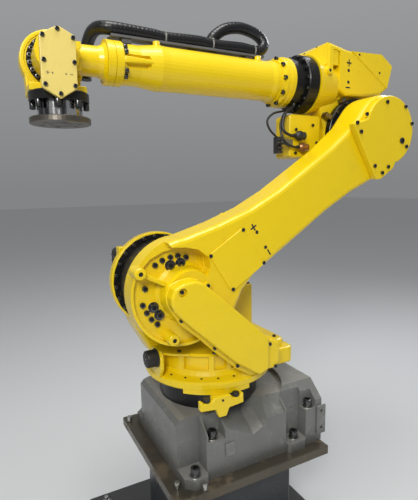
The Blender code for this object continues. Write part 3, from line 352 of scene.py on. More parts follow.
plate_top = 0.410
grey_paint = dull_paint("grey_paint", (0.152, 0.156, 0.150), (0.30, 0.29, 0.27), 0.40, plate_top)
charcoal_paint = dull_paint(
    "charcoal_paint", (0.022, 0.025, 0.029), (0.060, 0.060, 0.062), 0.25, 0.0
)
print("paints:", grey_paint.name, charcoal_paint.name)

# %% [markdown]
# The plate under the base is hot rolled steel. It is a dull olive brown, darker where
# its scale is thick and redder where damp has rusted it, and small spots are rubbed
# bright. A noise of its own size mixes each of them in, and the rust is the roughest.

# %% The rusty plate


def rusty_plate():
    made = Finish("rusty_steel", (0.105, 0.092, 0.070), 0.5, 0.35)
    scale_patch = made.ramp(made.noise(4, 5), 0.45, 0.62)
    made.tint(scale_patch, (0.070, 0.063, 0.051))
    rust = made.ramp(made.noise(9, 8, roughness=0.7), 0.46, 0.66)
    made.tint(made.maths("MULTIPLY", rust, 0.85), (0.100, 0.070, 0.038))
    bright = made.ramp(made.noise(34, 6, roughness=0.7), 0.60, 0.74)
    made.tint(made.maths("MULTIPLY", bright, 0.5), (0.210, 0.160, 0.100))
    made.gloss(rust, 0.30, 0.75)
    made.link(made.ramp(rust, 0.0, 1.0, 0.60, 0.05), made.surface.inputs["Metallic"])
    made.bump(made.noise(150, 5), 0.35, 0.0010)
    return made.material


rusty_steel = rusty_plate()
print("plate:", rusty_steel.name)

# %% [markdown]
# Motors and gearboxes wear black paint on metal. Bolts are black oxide, which is a
# thin skin with a dull shine, and worn ones are paler. Rubber is matt. The steel of the
# tool plate shows fine rings from the lathe, so its noise is squeezed along the axis that
# it turned about. The drum above it is polished, and long pale streaks are painted down its
# side as painted reflections.

# %% Metals, rubber and plastic


def machined(name, colour, metallic, low, high, scale, stretch, strength):
    made = Finish(name, colour, low, metallic)
    patch = made.ramp(made.noise(18, 4), 0.40, 0.72, 0.0, 0.4)
    made.tint(patch, tuple(0.65 * part for part in colour))
    made.gloss(made.noise(30, 4), low, high)
    made.bump(made.noise(scale, 3, stretch), strength, 0.0005)
    return made.material


black_metal = machined("black_metal", (0.009, 0.009, 0.010), 0.30, 0.24, 0.42, 260, None, 0.15)
bolt_black = machined("black_oxide", (0.105, 0.105, 0.107), 0.90, 0.18, 0.32, 500, None, 0.10)
bolt_worn = machined("worn_oxide", (0.170, 0.165, 0.158), 0.90, 0.24, 0.40, 500, None, 0.10)
zinc = machined("zinc_plated", (0.50, 0.50, 0.48), 1.0, 0.28, 0.45, 400, None, 0.08)
sheet_steel = machined("steel", (0.230, 0.232, 0.235), 0.8, 0.34, 0.52, 200, (1, 12, 12), 0.10)
dark_steel = machined("dark_steel", (0.200, 0.180, 0.155), 1.0, 0.26, 0.42, 300, (1, 1, 30), 0.10)


def polished_drum():
    made = Finish("polished_steel", (0.090, 0.090, 0.095), 0.10, 1.0)
    # pale streaks down the drum: painted reflections
    reflection_streak = made.ramp(made.noise(40, 3, (1, 1, 0.03)), 0.46, 0.60)
    made.tint(reflection_streak, (0.60, 0.60, 0.61))
    made.gloss(reflection_streak, 0.08, 0.20)
    return made.material


polished = polished_drum()
rubber = machined("rubber", (0.014, 0.014, 0.014), 0.0, 0.42, 0.60, 300, None, 0.20)
plastic = machined("black_plastic", (0.024, 0.024, 0.026), 0.0, 0.38, 0.50, 700, None, 0.15)
# matt black for the floor of holes: painted shade that makes them look deep
painted_hole_shade = machined("painted_hole_shade", (0.006, 0.006, 0.006), 0.0, 0.70, 0.85, 300, None, 0.05)
mark_black = machined("mark_black", (0.020, 0.020, 0.020), 0.0, 0.45, 0.60, 300, None, 0.02)
mark_faint = machined("mark_faint", (0.20, 0.17, 0.08), 0.0, 0.45, 0.60, 300, None, 0.02)
copper = machined("brown_plating", (0.42, 0.22, 0.10), 0.9, 0.25, 0.42, 300, None, 0.08)
tie_pale = machined("grey_tie", (0.24, 0.24, 0.23), 0.0, 0.42, 0.55, 400, None, 0.05)
print("metals:", len([m for m in bpy.data.materials if m.use_nodes]), "materials so far")

# %% [markdown]
# The hose is wrapped in a black braid. The hose carries its own UV, one direction along
# it and the other round it, so two sets of fine stripes can cross on it like threads.
# Where they cross, the product of the two makes little diamonds. Soft rings lie under
# the braid, since the hose inside it is corrugated. The pattern is drawn for 1.06 m. The
# route further down is 1.01 m long, so the threads come out a little finer than planned.

# %% The braid of the hose
braid_length = 1.06
thread_pitch = 0.0095
ring_pitch = 0.0125


def braid():
    made = Finish("braided_hose", (0.004, 0.004, 0.005), 0.3)
    own = made.tree.nodes.new("ShaderNodeUVMap")
    own.uv_map = "UVMap"
    split = made.tree.nodes.new("ShaderNodeSeparateXYZ")
    made.link(own.outputs["UV"], split.inputs["Vector"])
    along = made.maths("MULTIPLY", split.outputs["X"], braid_length / thread_pitch)
    around = made.maths("MULTIPLY", split.outputs["Y"], 9.0)
    threads = []
    for operation in ("ADD", "SUBTRACT"):
        lane = made.maths(operation, along, around)
        wave = made.maths("SINE", made.maths("MULTIPLY", lane, 2 * math.pi), 0.0)
        threads.append(made.ramp(wave, -1.0, 1.0))
    cross = made.maths("MULTIPLY", *threads)
    made.tint(made.ramp(cross, 0.15, 0.9, 0.0, 1.0), (0.016, 0.016, 0.018))
    made.gloss(made.noise(40, 3), 0.26, 0.38)
    ring_turn = made.maths(
        "MULTIPLY", split.outputs["X"], 2 * math.pi * braid_length / ring_pitch
    )
    rings = made.ramp(made.maths("SINE", ring_turn, 0.0), -1.0, 1.0)
    made.bump(rings, 0.4, 0.0007)
    made.bump(cross, 0.3, 0.0004)
    return made.material


hose_braid = braid()
print("hose:", hose_braid.name)

# %% [markdown]
# Each CAD solid now takes its finish. The record says which slot each solid uses, so a
# short table from slot to material does nearly all of them. Cast pieces take the lumpy
# paint, and turned or sheet pieces take the smooth one.

# %% Finishes on the CAD solids
by_slot = {
    "yellow_paint": yellow_paint,
    "pale_yellow_paint": pale_yellow,
    "grey_paint": grey_paint,
    "charcoal_paint": charcoal_paint,
    "rusty_steel": rusty_steel,
    "black_metal": black_metal,
    "steel": sheet_steel,
    "dark_steel": dark_steel,
    "rubber": rubber,
    "hose_rubber": hose_braid,
    "black_plastic": plastic,
}
turned_smooth = [
    "forearm_front_flange", "forearm_rear_flange", "forearm_tube", "wrist_far_hub",
    "wrist_fork", "elbow_cover", "arm_access_plate",
]
for part in frame["record"]["subparts"]:
    solid = nodes[part["node"]]
    solid.data.materials.clear()
    solid.data.materials.append(by_slot[part["material_slot"]])
for name in turned_smooth:
    nodes[name].data.materials[0] = smooth_yellow
nodes["tool_drum"].data.materials[0] = polished

# %% [markdown]
# Most of the small parts are screws, and there are about two hundred of them. One
# screw of each size is modelled by hand and then copied to its places. To put a copy
# down, a matrix stands its own upright along the direction that the screw points out.

# %% Directions on the robot
lean_degrees = -57.5
side_axis = Vector((0, 1, 0))
up_axis = Vector((0, 0, 1))
front_axis = Vector((1, 0, 0))
lean_turn = math.radians(lean_degrees)
along_arm = Vector((math.sin(lean_turn), 0, math.cos(lean_turn)))
across_arm = Vector((math.cos(lean_turn), 0, -math.sin(lean_turn)))
roll_height = 1.61245
wrist_x = 0.43225


def arm_place(across, along, y):
    """A place on the upper arm: across it and along it from the lean axis, at a depth y."""
    return lean_point + across * across_arm + along * along_arm + Vector((0, y, 0))


def elbow_place(x, y, z):
    """A place on the elbow, measured from the middle of its axis."""
    return elbow_point + Vector((x, y, z))


def stand(place, out, turn=0.0):
    """A matrix that puts a piece at a place with its upright along out, turned about it."""
    out = Vector(out).normalized()
    guide = up_axis if abs(out.z) < 0.9 else front_axis
    first = guide.cross(out).normalized()
    second = out.cross(first)
    turned = Matrix((first, second, out)).transposed().to_4x4()
    return Matrix.Translation(Vector(place)) @ turned @ Matrix.Rotation(turn, 4, "Z")


def on_circle(centre, axis, radius, count, start=0.0):
    """Places evenly round a circle about an axis. The first is at start degrees."""
    flat_circle = stand(centre, axis)
    places = []
    for index in range(count):
        angle = math.radians(start + index * 360.0 / count)
        places.append(flat_circle @ Vector((radius * math.cos(angle), radius * math.sin(angle), 0)))
    return places


print("arm points along", tuple(round(part, 3) for part in along_arm))

# %% [markdown]
# These few helpers do what a hand does in Blender: clear the selection, apply what
# is live, and join copies to one piece. A piece ends with its place in its mesh, and then
# it gets its name and finish and is told which body it rides on.

# %% Helpers for hand modelling
sharp_angle = 35


def clear_selection():
    if bpy.context.mode != "OBJECT":
        bpy.ops.object.mode_set(mode="OBJECT")
    bpy.ops.object.select_all(action="DESELECT")


def pick(piece):
    """Makes one piece the selected and active one."""
    clear_selection()
    piece.select_set(True)
    bpy.context.view_layer.objects.active = piece


def apply_all(piece):
    """Applies the modifiers and the place of a piece."""
    pick(piece)
    for modifier in list(piece.modifiers):
        bpy.ops.object.modifier_apply(modifier=modifier.name)
    bpy.ops.object.transform_apply(location=True, rotation=True, scale=True)
    return piece


def round_edges(piece, width, segments=2):
    """Softens the sharp edges of a piece with a bevel."""
    bevel = piece.modifiers.new("round_edges", "BEVEL")
    bevel.width = width
    bevel.segments = segments
    bevel.limit_method = "ANGLE"
    bevel.angle_limit = math.radians(sharp_angle)
    return apply_all(piece)


def take_away(piece, cutter):
    """Cuts one piece out of another and deletes the cutter."""
    change = piece.modifiers.new("take_away", "BOOLEAN")
    change.operation = "DIFFERENCE"
    change.solver = "EXACT"
    change.object = cutter
    apply_all(piece)
    bpy.data.objects.remove(cutter, do_unlink=True)
    return piece


def cylinder(radius, low, high, sides=24):
    """An upright cylinder between two heights."""
    clear_selection()
    bpy.ops.mesh.primitive_cylinder_add(
        vertices=sides, radius=radius, depth=high - low, location=(0, 0, (low + high) / 2)
    )
    return bpy.context.object


def box_piece(x, y, z):
    """A box between three pairs of limits."""
    clear_selection()
    bpy.ops.mesh.primitive_cube_add(size=1)
    made = bpy.context.object
    made.location = [(pair[0] + pair[1]) / 2 for pair in (x, y, z)]
    made.scale = [pair[1] - pair[0] for pair in (x, y, z)]
    bpy.ops.object.transform_apply(location=True, rotation=True, scale=True)
    return made


def smooth(piece, degrees=sharp_angle):
    """Shades a piece smooth, except across its sharp edges."""
    pick(piece)
    bpy.ops.object.shade_smooth_by_angle(angle=math.radians(degrees))
    return piece


def put_away(piece):
    """Deletes a cutter or a master that has done its work."""
    bpy.data.objects.remove(piece, do_unlink=True)


def join(pieces, name):
    """Makes one piece of several, under one name."""
    clear_selection()
    for piece in pieces:
        piece.select_set(True)
    bpy.context.view_layer.objects.active = pieces[0]
    if len(pieces) > 1:
        bpy.ops.object.join()
    pieces[0].name = name
    return pieces[0]


def hand_over(piece, name, body, material):
    """The last step of each piece: its name, finish and body."""
    piece.name = name
    if len(piece.data.materials) > 1 and material is not None:
        piece.data.materials[0] = material
    elif material is not None:
        piece.data.materials.clear()
        piece.data.materials.append(material)
    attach(piece, body)
    return piece


def copies(master, places):
    """Copies of a master, each with its own mesh, joined at the places."""
    made = []
    for place in places:
        copy = master.copy()
        copy.data = master.data.copy()
        copy.matrix_world = place
        bpy.context.scene.collection.objects.link(copy)
        made.append(copy)
    joined = join(made, master.name + "_set")
    bpy.ops.object.transform_apply(location=True, rotation=True, scale=True)
    return joined


print("helpers ready")

# %% [markdown]
# A socket screw is a short cylinder with a rounded rim and a six sided hole for the key.
# The floor of the hole is a piece of its own in matt black, painted shade that makes the hole look
# deep.
# The sizes are the radius of the head and its height, in metres.

# %% The master screws


def socket_screw(name, radius, height):
    """A screw head that stands on the origin, with a hole for a six sided key."""
    head = round_edges(cylinder(radius, 0, height), 0.14 * radius)
    key = cylinder(0.58 * radius, 0.35 * height, 2 * height, 6)
    take_away(head, key)
    # the floor of the key hole, in matt black as painted shade
    floor = cylinder(0.56 * radius, 0.34 * height, 0.42 * height, 6)
    head.data.materials.append(bolt_black)
    floor.data.materials.append(painted_hole_shade)
    return smooth(join([head, floor], name))


def washer(name, radius, hole, height):
    """A flat ring that lies on the origin: its radius, the hole's and its thickness."""
    plate = cylinder(radius, 0, height)
    take_away(plate, cylinder(hole, -height, 3 * height))
    made = round_edges(plate, 0.2 * height, 1)
    made.name = name
    return smooth(made)


screws = {
    "tiny": socket_screw("tiny_screw", 0.0036, 0.0022),
    "flat": socket_screw("flat_screw", 0.0058, 0.0019),
    "small": socket_screw("small_screw", 0.0054, 0.0045),
    "cover": socket_screw("cover_screw", 0.0062, 0.0055),
    "ring": socket_screw("ring_screw", 0.0050, 0.0070),
    "reducer": socket_screw("reducer_screw", 0.0082, 0.0060),
    "clamp": socket_screw("clamp_screw", 0.0112, 0.0070),
    "flange": socket_screw("flange_screw", 0.0072, 0.0100),
    "hub": socket_screw("hub_screw", 0.0060, 0.0065),
    "collar": socket_screw("collar_screw", 0.0078, 0.0180),
    "base": socket_screw("base_screw", 0.0135, 0.0240),
}
base_washer_height = 0.0032
clamp_washer_height = 0.0018
base_washer = washer("base_washer", 0.0185, 0.0080, base_washer_height)
clamp_washer = washer("clamp_washer", 0.0155, 0.0080, clamp_washer_height)
print("screw masters:", ", ".join(sorted(screws)))


def screw_set(name, kind, places, out, body, material):
    """One piece that holds all the screws of a group, each turned a little differently."""
    spots = [stand(place, out, 0.7 * index) for index, place in enumerate(places)]
    return hand_over(copies(screws[kind], spots), name, body, material)


# %% [markdown]
# The gearbox of the lean axis is held by two groups of screws in the recess of the arm.
# Their places were measured on the photograph, across and along the arm. Two in each
# group are larger. Each of those has a washer and stands on a round pad that is machined
# flat in the casting. The pads are short yellow cylinders with a soft rim.

# %% The screws in the arm's recess
recess_floor = 0.1500
pad_rise = 0.0055
small_spots = [(0.115, -0.025), (0.113, -0.001), (0.106, 0.023), (0.095, 0.043), (0.077, 0.061),
               (0.046, -0.116), (0.021, -0.119), (-0.003, -0.119), (-0.026, -0.114),
               (0.079, -0.085)]
large_spots = [(0.089, 0.009), (0.075, 0.037), (0.023, -0.096), (-0.006, -0.095)]
screw_set("reducer_screws", "reducer",
          [arm_place(across, along, recess_floor) for across, along in small_spots],
          side_axis, "upper_arm", bolt_black)
large_places = [arm_place(across, along, recess_floor) for across, along in large_spots]
pad = round_edges(cylinder(0.0175, -0.001, pad_rise), 0.0015)
pad.name = "clamp_pad"
pads = copies(smooth(pad), [stand(place, side_axis) for place in large_places])
hand_over(pads, "clamp_pads", "upper_arm", yellow_paint)
put_away(pad)
large_places = [place + pad_rise * side_axis for place in large_places]
washers = copies(clamp_washer, [stand(place, side_axis) for place in large_places])
hand_over(washers, "clamp_washers", "upper_arm", bolt_black)
screw_set("clamp_screws", "clamp",
          [place + clamp_washer_height * side_axis for place in large_places],
          side_axis, "upper_arm", bolt_black)
print("recess screws:", len(small_spots) + len(large_spots))

# %% [markdown]
# Four flat screws hold the square access plate, because the cable cover passes close over
# them when the arm leans back. The round elbow cover has ten taller ones and a black
# plug, which closes the hole where grease goes in.

# %% The screws of the arm's plate and cover
plate_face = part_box("arm_access_plate")[1].y
cover_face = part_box("elbow_cover")[1].y
plate_spots = [(0.053, 0.108), (0.052, 0.233), (-0.073, 0.238), (-0.072, 0.112)]
cover_spots = [(0.087, 0.897), (0.032, 0.967), (-0.032, 0.968), (-0.085, 0.908),
               (0.099, 0.797), (0.097, 0.748), (-0.097, 0.800), (0.065, 0.748),
               (-0.061, 0.748), (-0.099, 0.766)]
screw_set("plate_screws", "flat", [arm_place(*spot, plate_face) for spot in plate_spots],
          side_axis, "upper_arm", bolt_black)
screw_set("elbow_cover_screws", "cover", [arm_place(*spot, cover_face) for spot in cover_spots],
          side_axis, "upper_arm", bolt_black)
plug = socket_screw("grease_plug", 0.0105, 0.0045)
grease_plug = copies(plug, [stand(arm_place(-0.057, 0.899, cover_face), side_axis)])
hand_over(grease_plug, "elbow_grease_plug", "upper_arm", bolt_black)
put_away(plug)
print("cover face at y =", round(cover_face, 4))

# %% [markdown]
# Two round bosses on the arm's joint end have a plain threaded hole, and so does one on
# the head of the elbow. A hole is a thin ring with a dark disc in it, painted shade that stands
# for the hole's depth, because a real hole would need the CAD solid to be cut again.

# %% Holes in the bosses
hole_ring = washer("hole_ring", 0.0105, 0.0062, 0.0012)
# a disc of painted shade for the inside of a hole
hole_shade_disc = cylinder(0.0064, 0, 0.0006)
hole_shade_disc.name = "hole_shade_disc"


def holes(name, places, out, size, body, material):
    """Threaded holes: rings of the paint, each with a disc of painted shade."""
    spots = [stand(place, out) @ Matrix.Scale(size, 4) for place in places]
    hand_over(copies(hole_ring, spots), name + "_rings", body, material)
    hand_over(copies(hole_shade_disc, spots), name, body, painted_hole_shade)


boss_face = 0.2030
boss_spots = [(0.137, -0.079), (-0.074, -0.109)]
boss_places = [arm_place(across, along, boss_face) for across, along in boss_spots]
holes("boss_holes", boss_places, side_axis, 1.0, "upper_arm", yellow_paint)
head_face = 0.0960
holes("head_boss_hole", [elbow_place(0.150, head_face, 0.204)], side_axis, 0.85, "elbow",
      yellow_paint)
print("bosses with holes:", len(boss_places) + 1)

# %% [markdown]
# The long cover beside the lean axis hides the cables. Four of its screws sit on its
# flange and two on its low end. One more stands on a round seat in the pocket near the
# top. The seat is a yellow cylinder with a soft rim.

# %% The screws of the cable cover
flange_face = 0.2130
end_face = 0.2324
flange_spots = [(0.037, -0.064), (-0.064, -0.161), (-0.139, -0.230), (-0.047, 0.023)]
end_spots = [(-0.241, -0.176), (-0.262, -0.250)]
cover_places = [lean_point + Vector((x, flange_face, z)) for x, z in flange_spots]
cover_places += [lean_point + Vector((x, end_face, z)) for x, z in end_spots]
pocket_centre = lean_point + Vector((0.044, flange_face, 0.022))
seat_height = 0.0270
pocket_seat = round_edges(cylinder(0.0112, -0.0010, seat_height), 0.0010, 1)
pocket_seat.matrix_world = stand(pocket_centre, side_axis)
apply_all(pocket_seat)
hand_over(smooth(pocket_seat), "cover_screw_seat", "carousel", yellow_paint)
cover_places += [pocket_centre + seat_height * side_axis]
screw_set("cable_cover_screws", "small", cover_places, side_axis, "carousel", bolt_black)
print("cable cover screws:", len(cover_places))

# %% [markdown]
# The turning rim has a ring of small screws, 15 degrees apart. They are left out where
# the pillar or the deck stands on the rim. Four black screws sit on the deck.

# %% The screws of the rim and the deck
rim_top = 0.7026
rim_radius = 0.1905
rim_angles = [-105, -90, -75, 12.2, 27.2, 42.2, 57.2, 72.2, 87.2, 102.2]
rim_places = []
for degrees in rim_angles:
    turn = math.radians(degrees)
    rim_places.append(Vector((rim_radius * math.cos(turn), rim_radius * math.sin(turn), rim_top)))
screw_set("rim_screws", "tiny", rim_places, up_axis, "carousel", bolt_black)
deck_top = 0.7712
deck_low = 0.7685
deck_places = [Vector((0.1425, 0.0900, deck_top)), Vector((0.0560, 0.1560, deck_top)),
               Vector((-0.0700, 0.1300, deck_low)), Vector((-0.1900, 0.1200, deck_low))]
screw_set("deck_screws", "cover", deck_places, up_axis, "carousel", bolt_black)
print("rim and deck screws:", len(rim_places) + len(deck_places))

# %% [markdown]
# The base is held by eight tall bolts: four stand on its foot pads, two in pockets in
# its sides and two on the towers at the rear. Each has a zinc washer, worn bright.

# %% The bolts of the base
base_spots = [(0.156, 0.213, 0.030), (0.089, 0.194, 0.118), (-0.212, 0.199, 0.0296),
              (-0.270, 0.1985, 0.124)]
base_spots += [(x, -y, z) for x, y, z in base_spots]
base_places = [Vector((x, y, plate_top + z)) for x, y, z in base_spots]
washers = copies(base_washer, [stand(place, up_axis) for place in base_places])
hand_over(washers, "base_washers", "base", zinc)
screw_set("base_bolts", "base", [place + base_washer_height * up_axis for place in base_places],
          up_axis, "base", bolt_black)
print("base bolts:", len(base_places))

# %% [markdown]
# Short dowels stand near the edges of the steel plate, where it was once lined up. Their
# tops are bright. The plate's four anchors on the floor are heavier, with a nut and a
# thread above it.

# %% Dowels and anchors
dowel_master = smooth(round_edges(cylinder(0.0080, 0, 0.0210, 16), 0.00096))
dowel_master.name = "dowel_master"
dowel_spots = [(0.221, -0.213), (0.207, 0.200), (0.141, 0.243), (-0.301, 0.200), (-0.301, -0.200)]
dowel_set = copies(dowel_master, [Matrix.Translation((x, y, plate_top)) for x, y in dowel_spots])
hand_over(dowel_set, "plate_dowels", "base", zinc)
put_away(dowel_master)

foot_top = 0.025
anchor_spots = [(0.300, 0.325), (0.300, -0.325), (-0.350, 0.325), (-0.350, -0.325)]
anchor_pieces = []
for x, y in anchor_spots:
    plate = washer("anchor_plate", 0.0210, 0.0075, 0.0030)
    nut = round_edges(cylinder(0.0150, 0.0030, 0.0140, 6), 0.0012, 1)
    stem = round_edges(cylinder(0.0078, 0.0, 0.0300, 16), 0.0010, 1)
    for index in range(5):
        level = 0.0160 + 0.0026 * index
        thread = cylinder(0.0084, level, level + 0.0013, 16)
        anchor_pieces.append(thread)
        thread.location = (x, y, foot_top)
    for piece in (plate, nut, stem):
        piece.location = (x, y, foot_top)
        anchor_pieces.append(piece)
anchors = join(anchor_pieces, "floor_anchors")
bpy.ops.object.transform_apply(location=True, rotation=True, scale=True)
hand_over(smooth(anchors), "floor_anchors", "base", zinc)
print("dowels:", len(dowel_spots), "anchors:", len(anchor_spots))

# %% [markdown]
# Rings of screws hold each gearbox and flange. The ring at the elbow faces the arm. The
# ring of the roll gearbox and the ring of the forearm's rear flange both face forward.

# %% Rings of screws on the elbow, the roll gearbox and the forearm
elbow_ring_radius = 0.1185
roll_ring_radius = 0.0872
rear_ring_radius = 0.0735
elbow_ring = on_circle(elbow_place(0, 0.0740, 0), side_axis, elbow_ring_radius, 14, 12.0)
screw_set("elbow_ring_screws", "small", elbow_ring, side_axis, "elbow", bolt_worn)
roll_centre = Vector((elbow_point.x, 0, roll_height))
roll_ring = on_circle(roll_centre + Vector((0.2331, 0, 0)), front_axis, roll_ring_radius, 16, 5.0)
screw_set("roll_ring_screws", "ring", roll_ring, front_axis, "elbow", bolt_black)
rear_ring = on_circle(roll_centre + Vector((0.3136, 0, 0)), front_axis, rear_ring_radius, 10)
screw_set("rear_flange_screws", "flange", rear_ring, front_axis, "forearm", bolt_black)
print("ring screws:", len(elbow_ring) + len(roll_ring) + len(rear_ring))

# %% [markdown]
# The hose on the forearm is one long bend, so it is drawn as a curve through a few
# points and then made a mesh. The curve leaves its own UV on the mesh: one
# direction runs along the hose and the other round it. The braid is drawn on that.

# %% A way to draw hoses and cables


def smooth_points(points, spacing):
    """Points along a curve that passes smoothly through each given point."""
    knots = [Vector(point) for point in points]
    knots = [2 * knots[0] - knots[1], *knots, 2 * knots[-1] - knots[-2]]
    route = [knots[1]]
    for before, start, end, after in zip(knots, knots[1:], knots[2:], knots[3:]):
        steps = max(2, round((end - start).length / spacing))
        for step in range(1, steps + 1):
            t = step / steps
            point = 2 * start + (end - before) * t
            point += (2 * before - 5 * start + 4 * end - after) * t**2
            point += (3 * start - before - 3 * end + after) * t**3
            route.append(point / 2)
    return route


def tube(name, points, radius, spacing=0.006, sides=4):
    """A round hose along a smooth route, as a mesh."""
    route = smooth_points(points, spacing)
    line = bpy.data.curves.new(name, "CURVE")
    line.dimensions = "3D"
    line.bevel_depth = radius
    line.bevel_resolution = sides
    line.use_fill_caps = True
    path = line.splines.new("POLY")
    path.points.add(len(route) - 1)
    for knot, point in zip(path.points, route):
        knot.co = (*point, 1)
    made = bpy.data.objects.new(name, line)
    bpy.context.scene.collection.objects.link(made)
    pick(made)
    bpy.ops.object.convert(target="MESH")
    return smooth(bpy.context.object, 50)


def forearm_place(x, y, z):
    """A place on the forearm: along it from the elbow axis, across it and above its axis."""
    return Vector((elbow_point.x + x, y, roll_height + z))


hose_route = [
    (0.912, -0.132, -0.020), (0.910, -0.130, 0.030), (0.906, -0.100, 0.080),
    (0.898, -0.045, 0.0985), (0.872, -0.004, 0.0945), (0.790, 0.000, 0.0925),
    (0.740, 0.000, 0.0910), (0.706, 0.000, 0.0880), (0.650, 0.000, 0.0905),
    (0.590, 0.000, 0.0925), (0.550, 0.000, 0.0890), (0.500, 0.000, 0.0905),
    (0.440, 0.000, 0.0930), (0.392, 0.000, 0.0895), (0.366, -0.002, 0.0960),
    (0.349, -0.008, 0.1165), (0.357, -0.016, 0.1400), (0.386, -0.023, 0.1570),
    (0.432, -0.029, 0.1650), (0.482, -0.034, 0.1550), (0.520, -0.038, 0.1280),
    (0.537, -0.039, 0.1000), (0.540, -0.039, 0.0860),
]
hose = tube("braided_hose", [forearm_place(*point) for point in hose_route], 0.0180, 0.004, 6)
hand_over(hose, "braided_hose", "forearm", hose_braid)
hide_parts("hose_run", "hose_loop")
print("hose:", len(hose.data.vertices), "points, UV:",
      [layer.name for layer in hose.data.uv_layers])

# %% [markdown]
# Pale cable ties hold the hose in its tray. Each tie is a thin ring with a small square
# head. The far end of the loop sits in a clamp on the tube, which is modelled on the
# side that the photograph hides.

# %% Ties and the end clamp
tie_radius = 0.0187
tie_pieces = []
for x, lift in ((0.7065, 0.0880), (0.5500, 0.0890), (0.3960, 0.0895)):
    clear_selection()
    bpy.ops.mesh.primitive_torus_add(
        major_radius=tie_radius, minor_radius=0.0011, major_segments=32, minor_segments=6,
        rotation=(0, math.radians(90), 0), location=forearm_place(x, 0, lift),
    )
    band = bpy.context.object
    band.scale.z = 2.2
    bpy.ops.object.transform_apply(location=True, rotation=True, scale=True)
    head = box_piece((-0.0030, 0.0030), (-0.0030, 0.0030), (0.0, 0.0045))
    round_edges(head, 0.0007, 1)
    head.matrix_world = Matrix.Translation(forearm_place(x, 0.0135, lift + 0.0120))
    head.rotation_euler.x = math.radians(-42)
    tie_pieces += [band, head]
ties = join(tie_pieces, "hose_ties")
bpy.ops.object.transform_apply(location=True, rotation=True, scale=True)
hand_over(smooth(ties), "hose_ties", "forearm", tie_pale)

seat = box_piece((0.520, 0.560), (-0.052, -0.024), (0.0520, 0.0860))
saddle = cylinder(0.0195, -0.05, 0.05, 32)
saddle.rotation_euler.x = math.radians(8)
saddle.location = (0.540, -0.039, 0.1000)
take_away(seat, saddle)
seat.location = forearm_place(0, 0, 0)
bpy.ops.object.transform_apply(location=True, rotation=True, scale=True)
round_edges(seat, 0.0015, 2)
hand_over(smooth(seat), "hose_saddle", "forearm", sheet_steel)
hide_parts("hose_end_clamp")
tray_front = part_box("hose_tray")[1].x
tray_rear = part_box("hose_tray")[0].x
tray_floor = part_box("hose_tray")[0].z + 0.003
tray_places = [Vector((x, y, tray_floor)) for x in (tray_front - 0.012, tray_rear + 0.012)
               for y in (-0.011, 0.011)]
screw_set("tray_screws", "tiny", tray_places, up_axis, "forearm", zinc)
print("ties:", len(tie_pieces) // 2, "tray screws:", len(tray_places))

# %% [markdown]
# The wrist has a pale six sided cover with eight screws. Behind it a ring of small worn
# screws goes round the far hub on a flat black band, and a turned step runs round the far
# disc. The forearm's front flange has eight longer screws.

# %% The screws and rings of the wrist
hex_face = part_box("wrist_side_cover")[1].y
hex_spots = [(0.0075, 0.0385), (0.0425, 0.0205), (-0.0285, 0.0215), (0.0430, -0.0360),
             (-0.0285, -0.0355), (0.0430, -0.0920), (-0.0275, -0.0910), (0.0085, -0.1120)]
screw_set("hex_cover_screws", "small",
          [Vector((wrist_x + x, hex_face, roll_height + z)) for x, z in hex_spots],
          side_axis, "wrist", bolt_black)
hub_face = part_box("wrist_far_hub")[1].y
hub_middle = Vector((wrist_x, hub_face, roll_height))
hub_band_height = 0.0012
hub_band = washer("hub_band", 0.0682, 0.0520, hub_band_height)
hub_copy = copies(hub_band, [stand(hub_middle, side_axis)])
hand_over(hub_copy, "far_hub_band", "wrist", black_metal)
hub_ring = on_circle(hub_middle + hub_band_height * side_axis, side_axis, 0.0605, 20, 9.0)
screw_set("far_hub_screws", "hub", hub_ring, side_axis, "wrist", bolt_worn)
step_ring = washer("step_ring", 0.0800, 0.0735, 0.0022)
disc_step = copies(step_ring, [stand((wrist_x, hub_face - 0.0040, roll_height), side_axis)])
hand_over(disc_step, "far_disc_step", "wrist", smooth_yellow)
front_face = roll_centre.x + 0.845
front_ring_radius = 0.0590
front_places = []
for degrees in (20, 36, -28, -44, 160, 144, 208, 224):
    turn = math.radians(degrees)
    front_places.append(Vector((front_face, front_ring_radius * math.cos(turn),
                                roll_height + front_ring_radius * math.sin(turn))))
screw_set("front_flange_screws", "flange", front_places, -front_axis, "forearm", bolt_black)
print("wrist screws:", len(hex_spots) + len(hub_ring) + len(front_places))

# %% [markdown]
# Under the wrist a black collar carries the drum that the tool turns on. Long dark bolts
# hang round the collar, fine dark bars stand round the polished drum, and the disc at
# the end has a ring of tapped holes for a tool.

# %% The tool end
tool_centre = Vector((wrist_x, 0.018, roll_height))
collar_low = -0.1200
bolt_ring = on_circle(tool_centre + Vector((0, 0, collar_low)), -up_axis, 0.0672, 8, 12.0)
screw_set("collar_bolts", "collar", bolt_ring, -up_axis, "wrist", bolt_black)
bar = round_edges(cylinder(0.0032, -0.0185, 0, 12), 0.0006, 1)
bar.name = "drum_bar"
bar_spots = [Matrix.Translation(place) for place in
             on_circle(tool_centre + Vector((0, 0, collar_low - 0.0008)), up_axis, 0.0538, 18)]
bars = copies(smooth(bar), bar_spots)
hand_over(bars, "drum_bars", "tool", bolt_black)
put_away(bar)
tool_face = tool_centre + Vector((0, 0, -0.1746))
holes("tool_holes", on_circle(tool_face, -up_axis, 0.0500, 6),
      -up_axis, 0.8, "tool", dark_steel)
pilot = washer("pilot_ring", 0.0330, 0.0270, 0.0012)
pilot_ring = copies(pilot, [stand(tool_face, -up_axis)])
hand_over(pilot_ring, "tool_pilot_ring", "tool", dark_steel)
print("tool end:", len(bolt_ring), "bolts and", len(bar_spots), "bars")

# %% [markdown]
# Three of the axes have a plus and a minus to show which way they turn, with dots beside
# them. The marks are flat black shapes on the arm and the head, and small faded ones on
# the wrist cover.

# %% Marks on the axes
mark_height = 0.0006
mark_edge = 0.0002


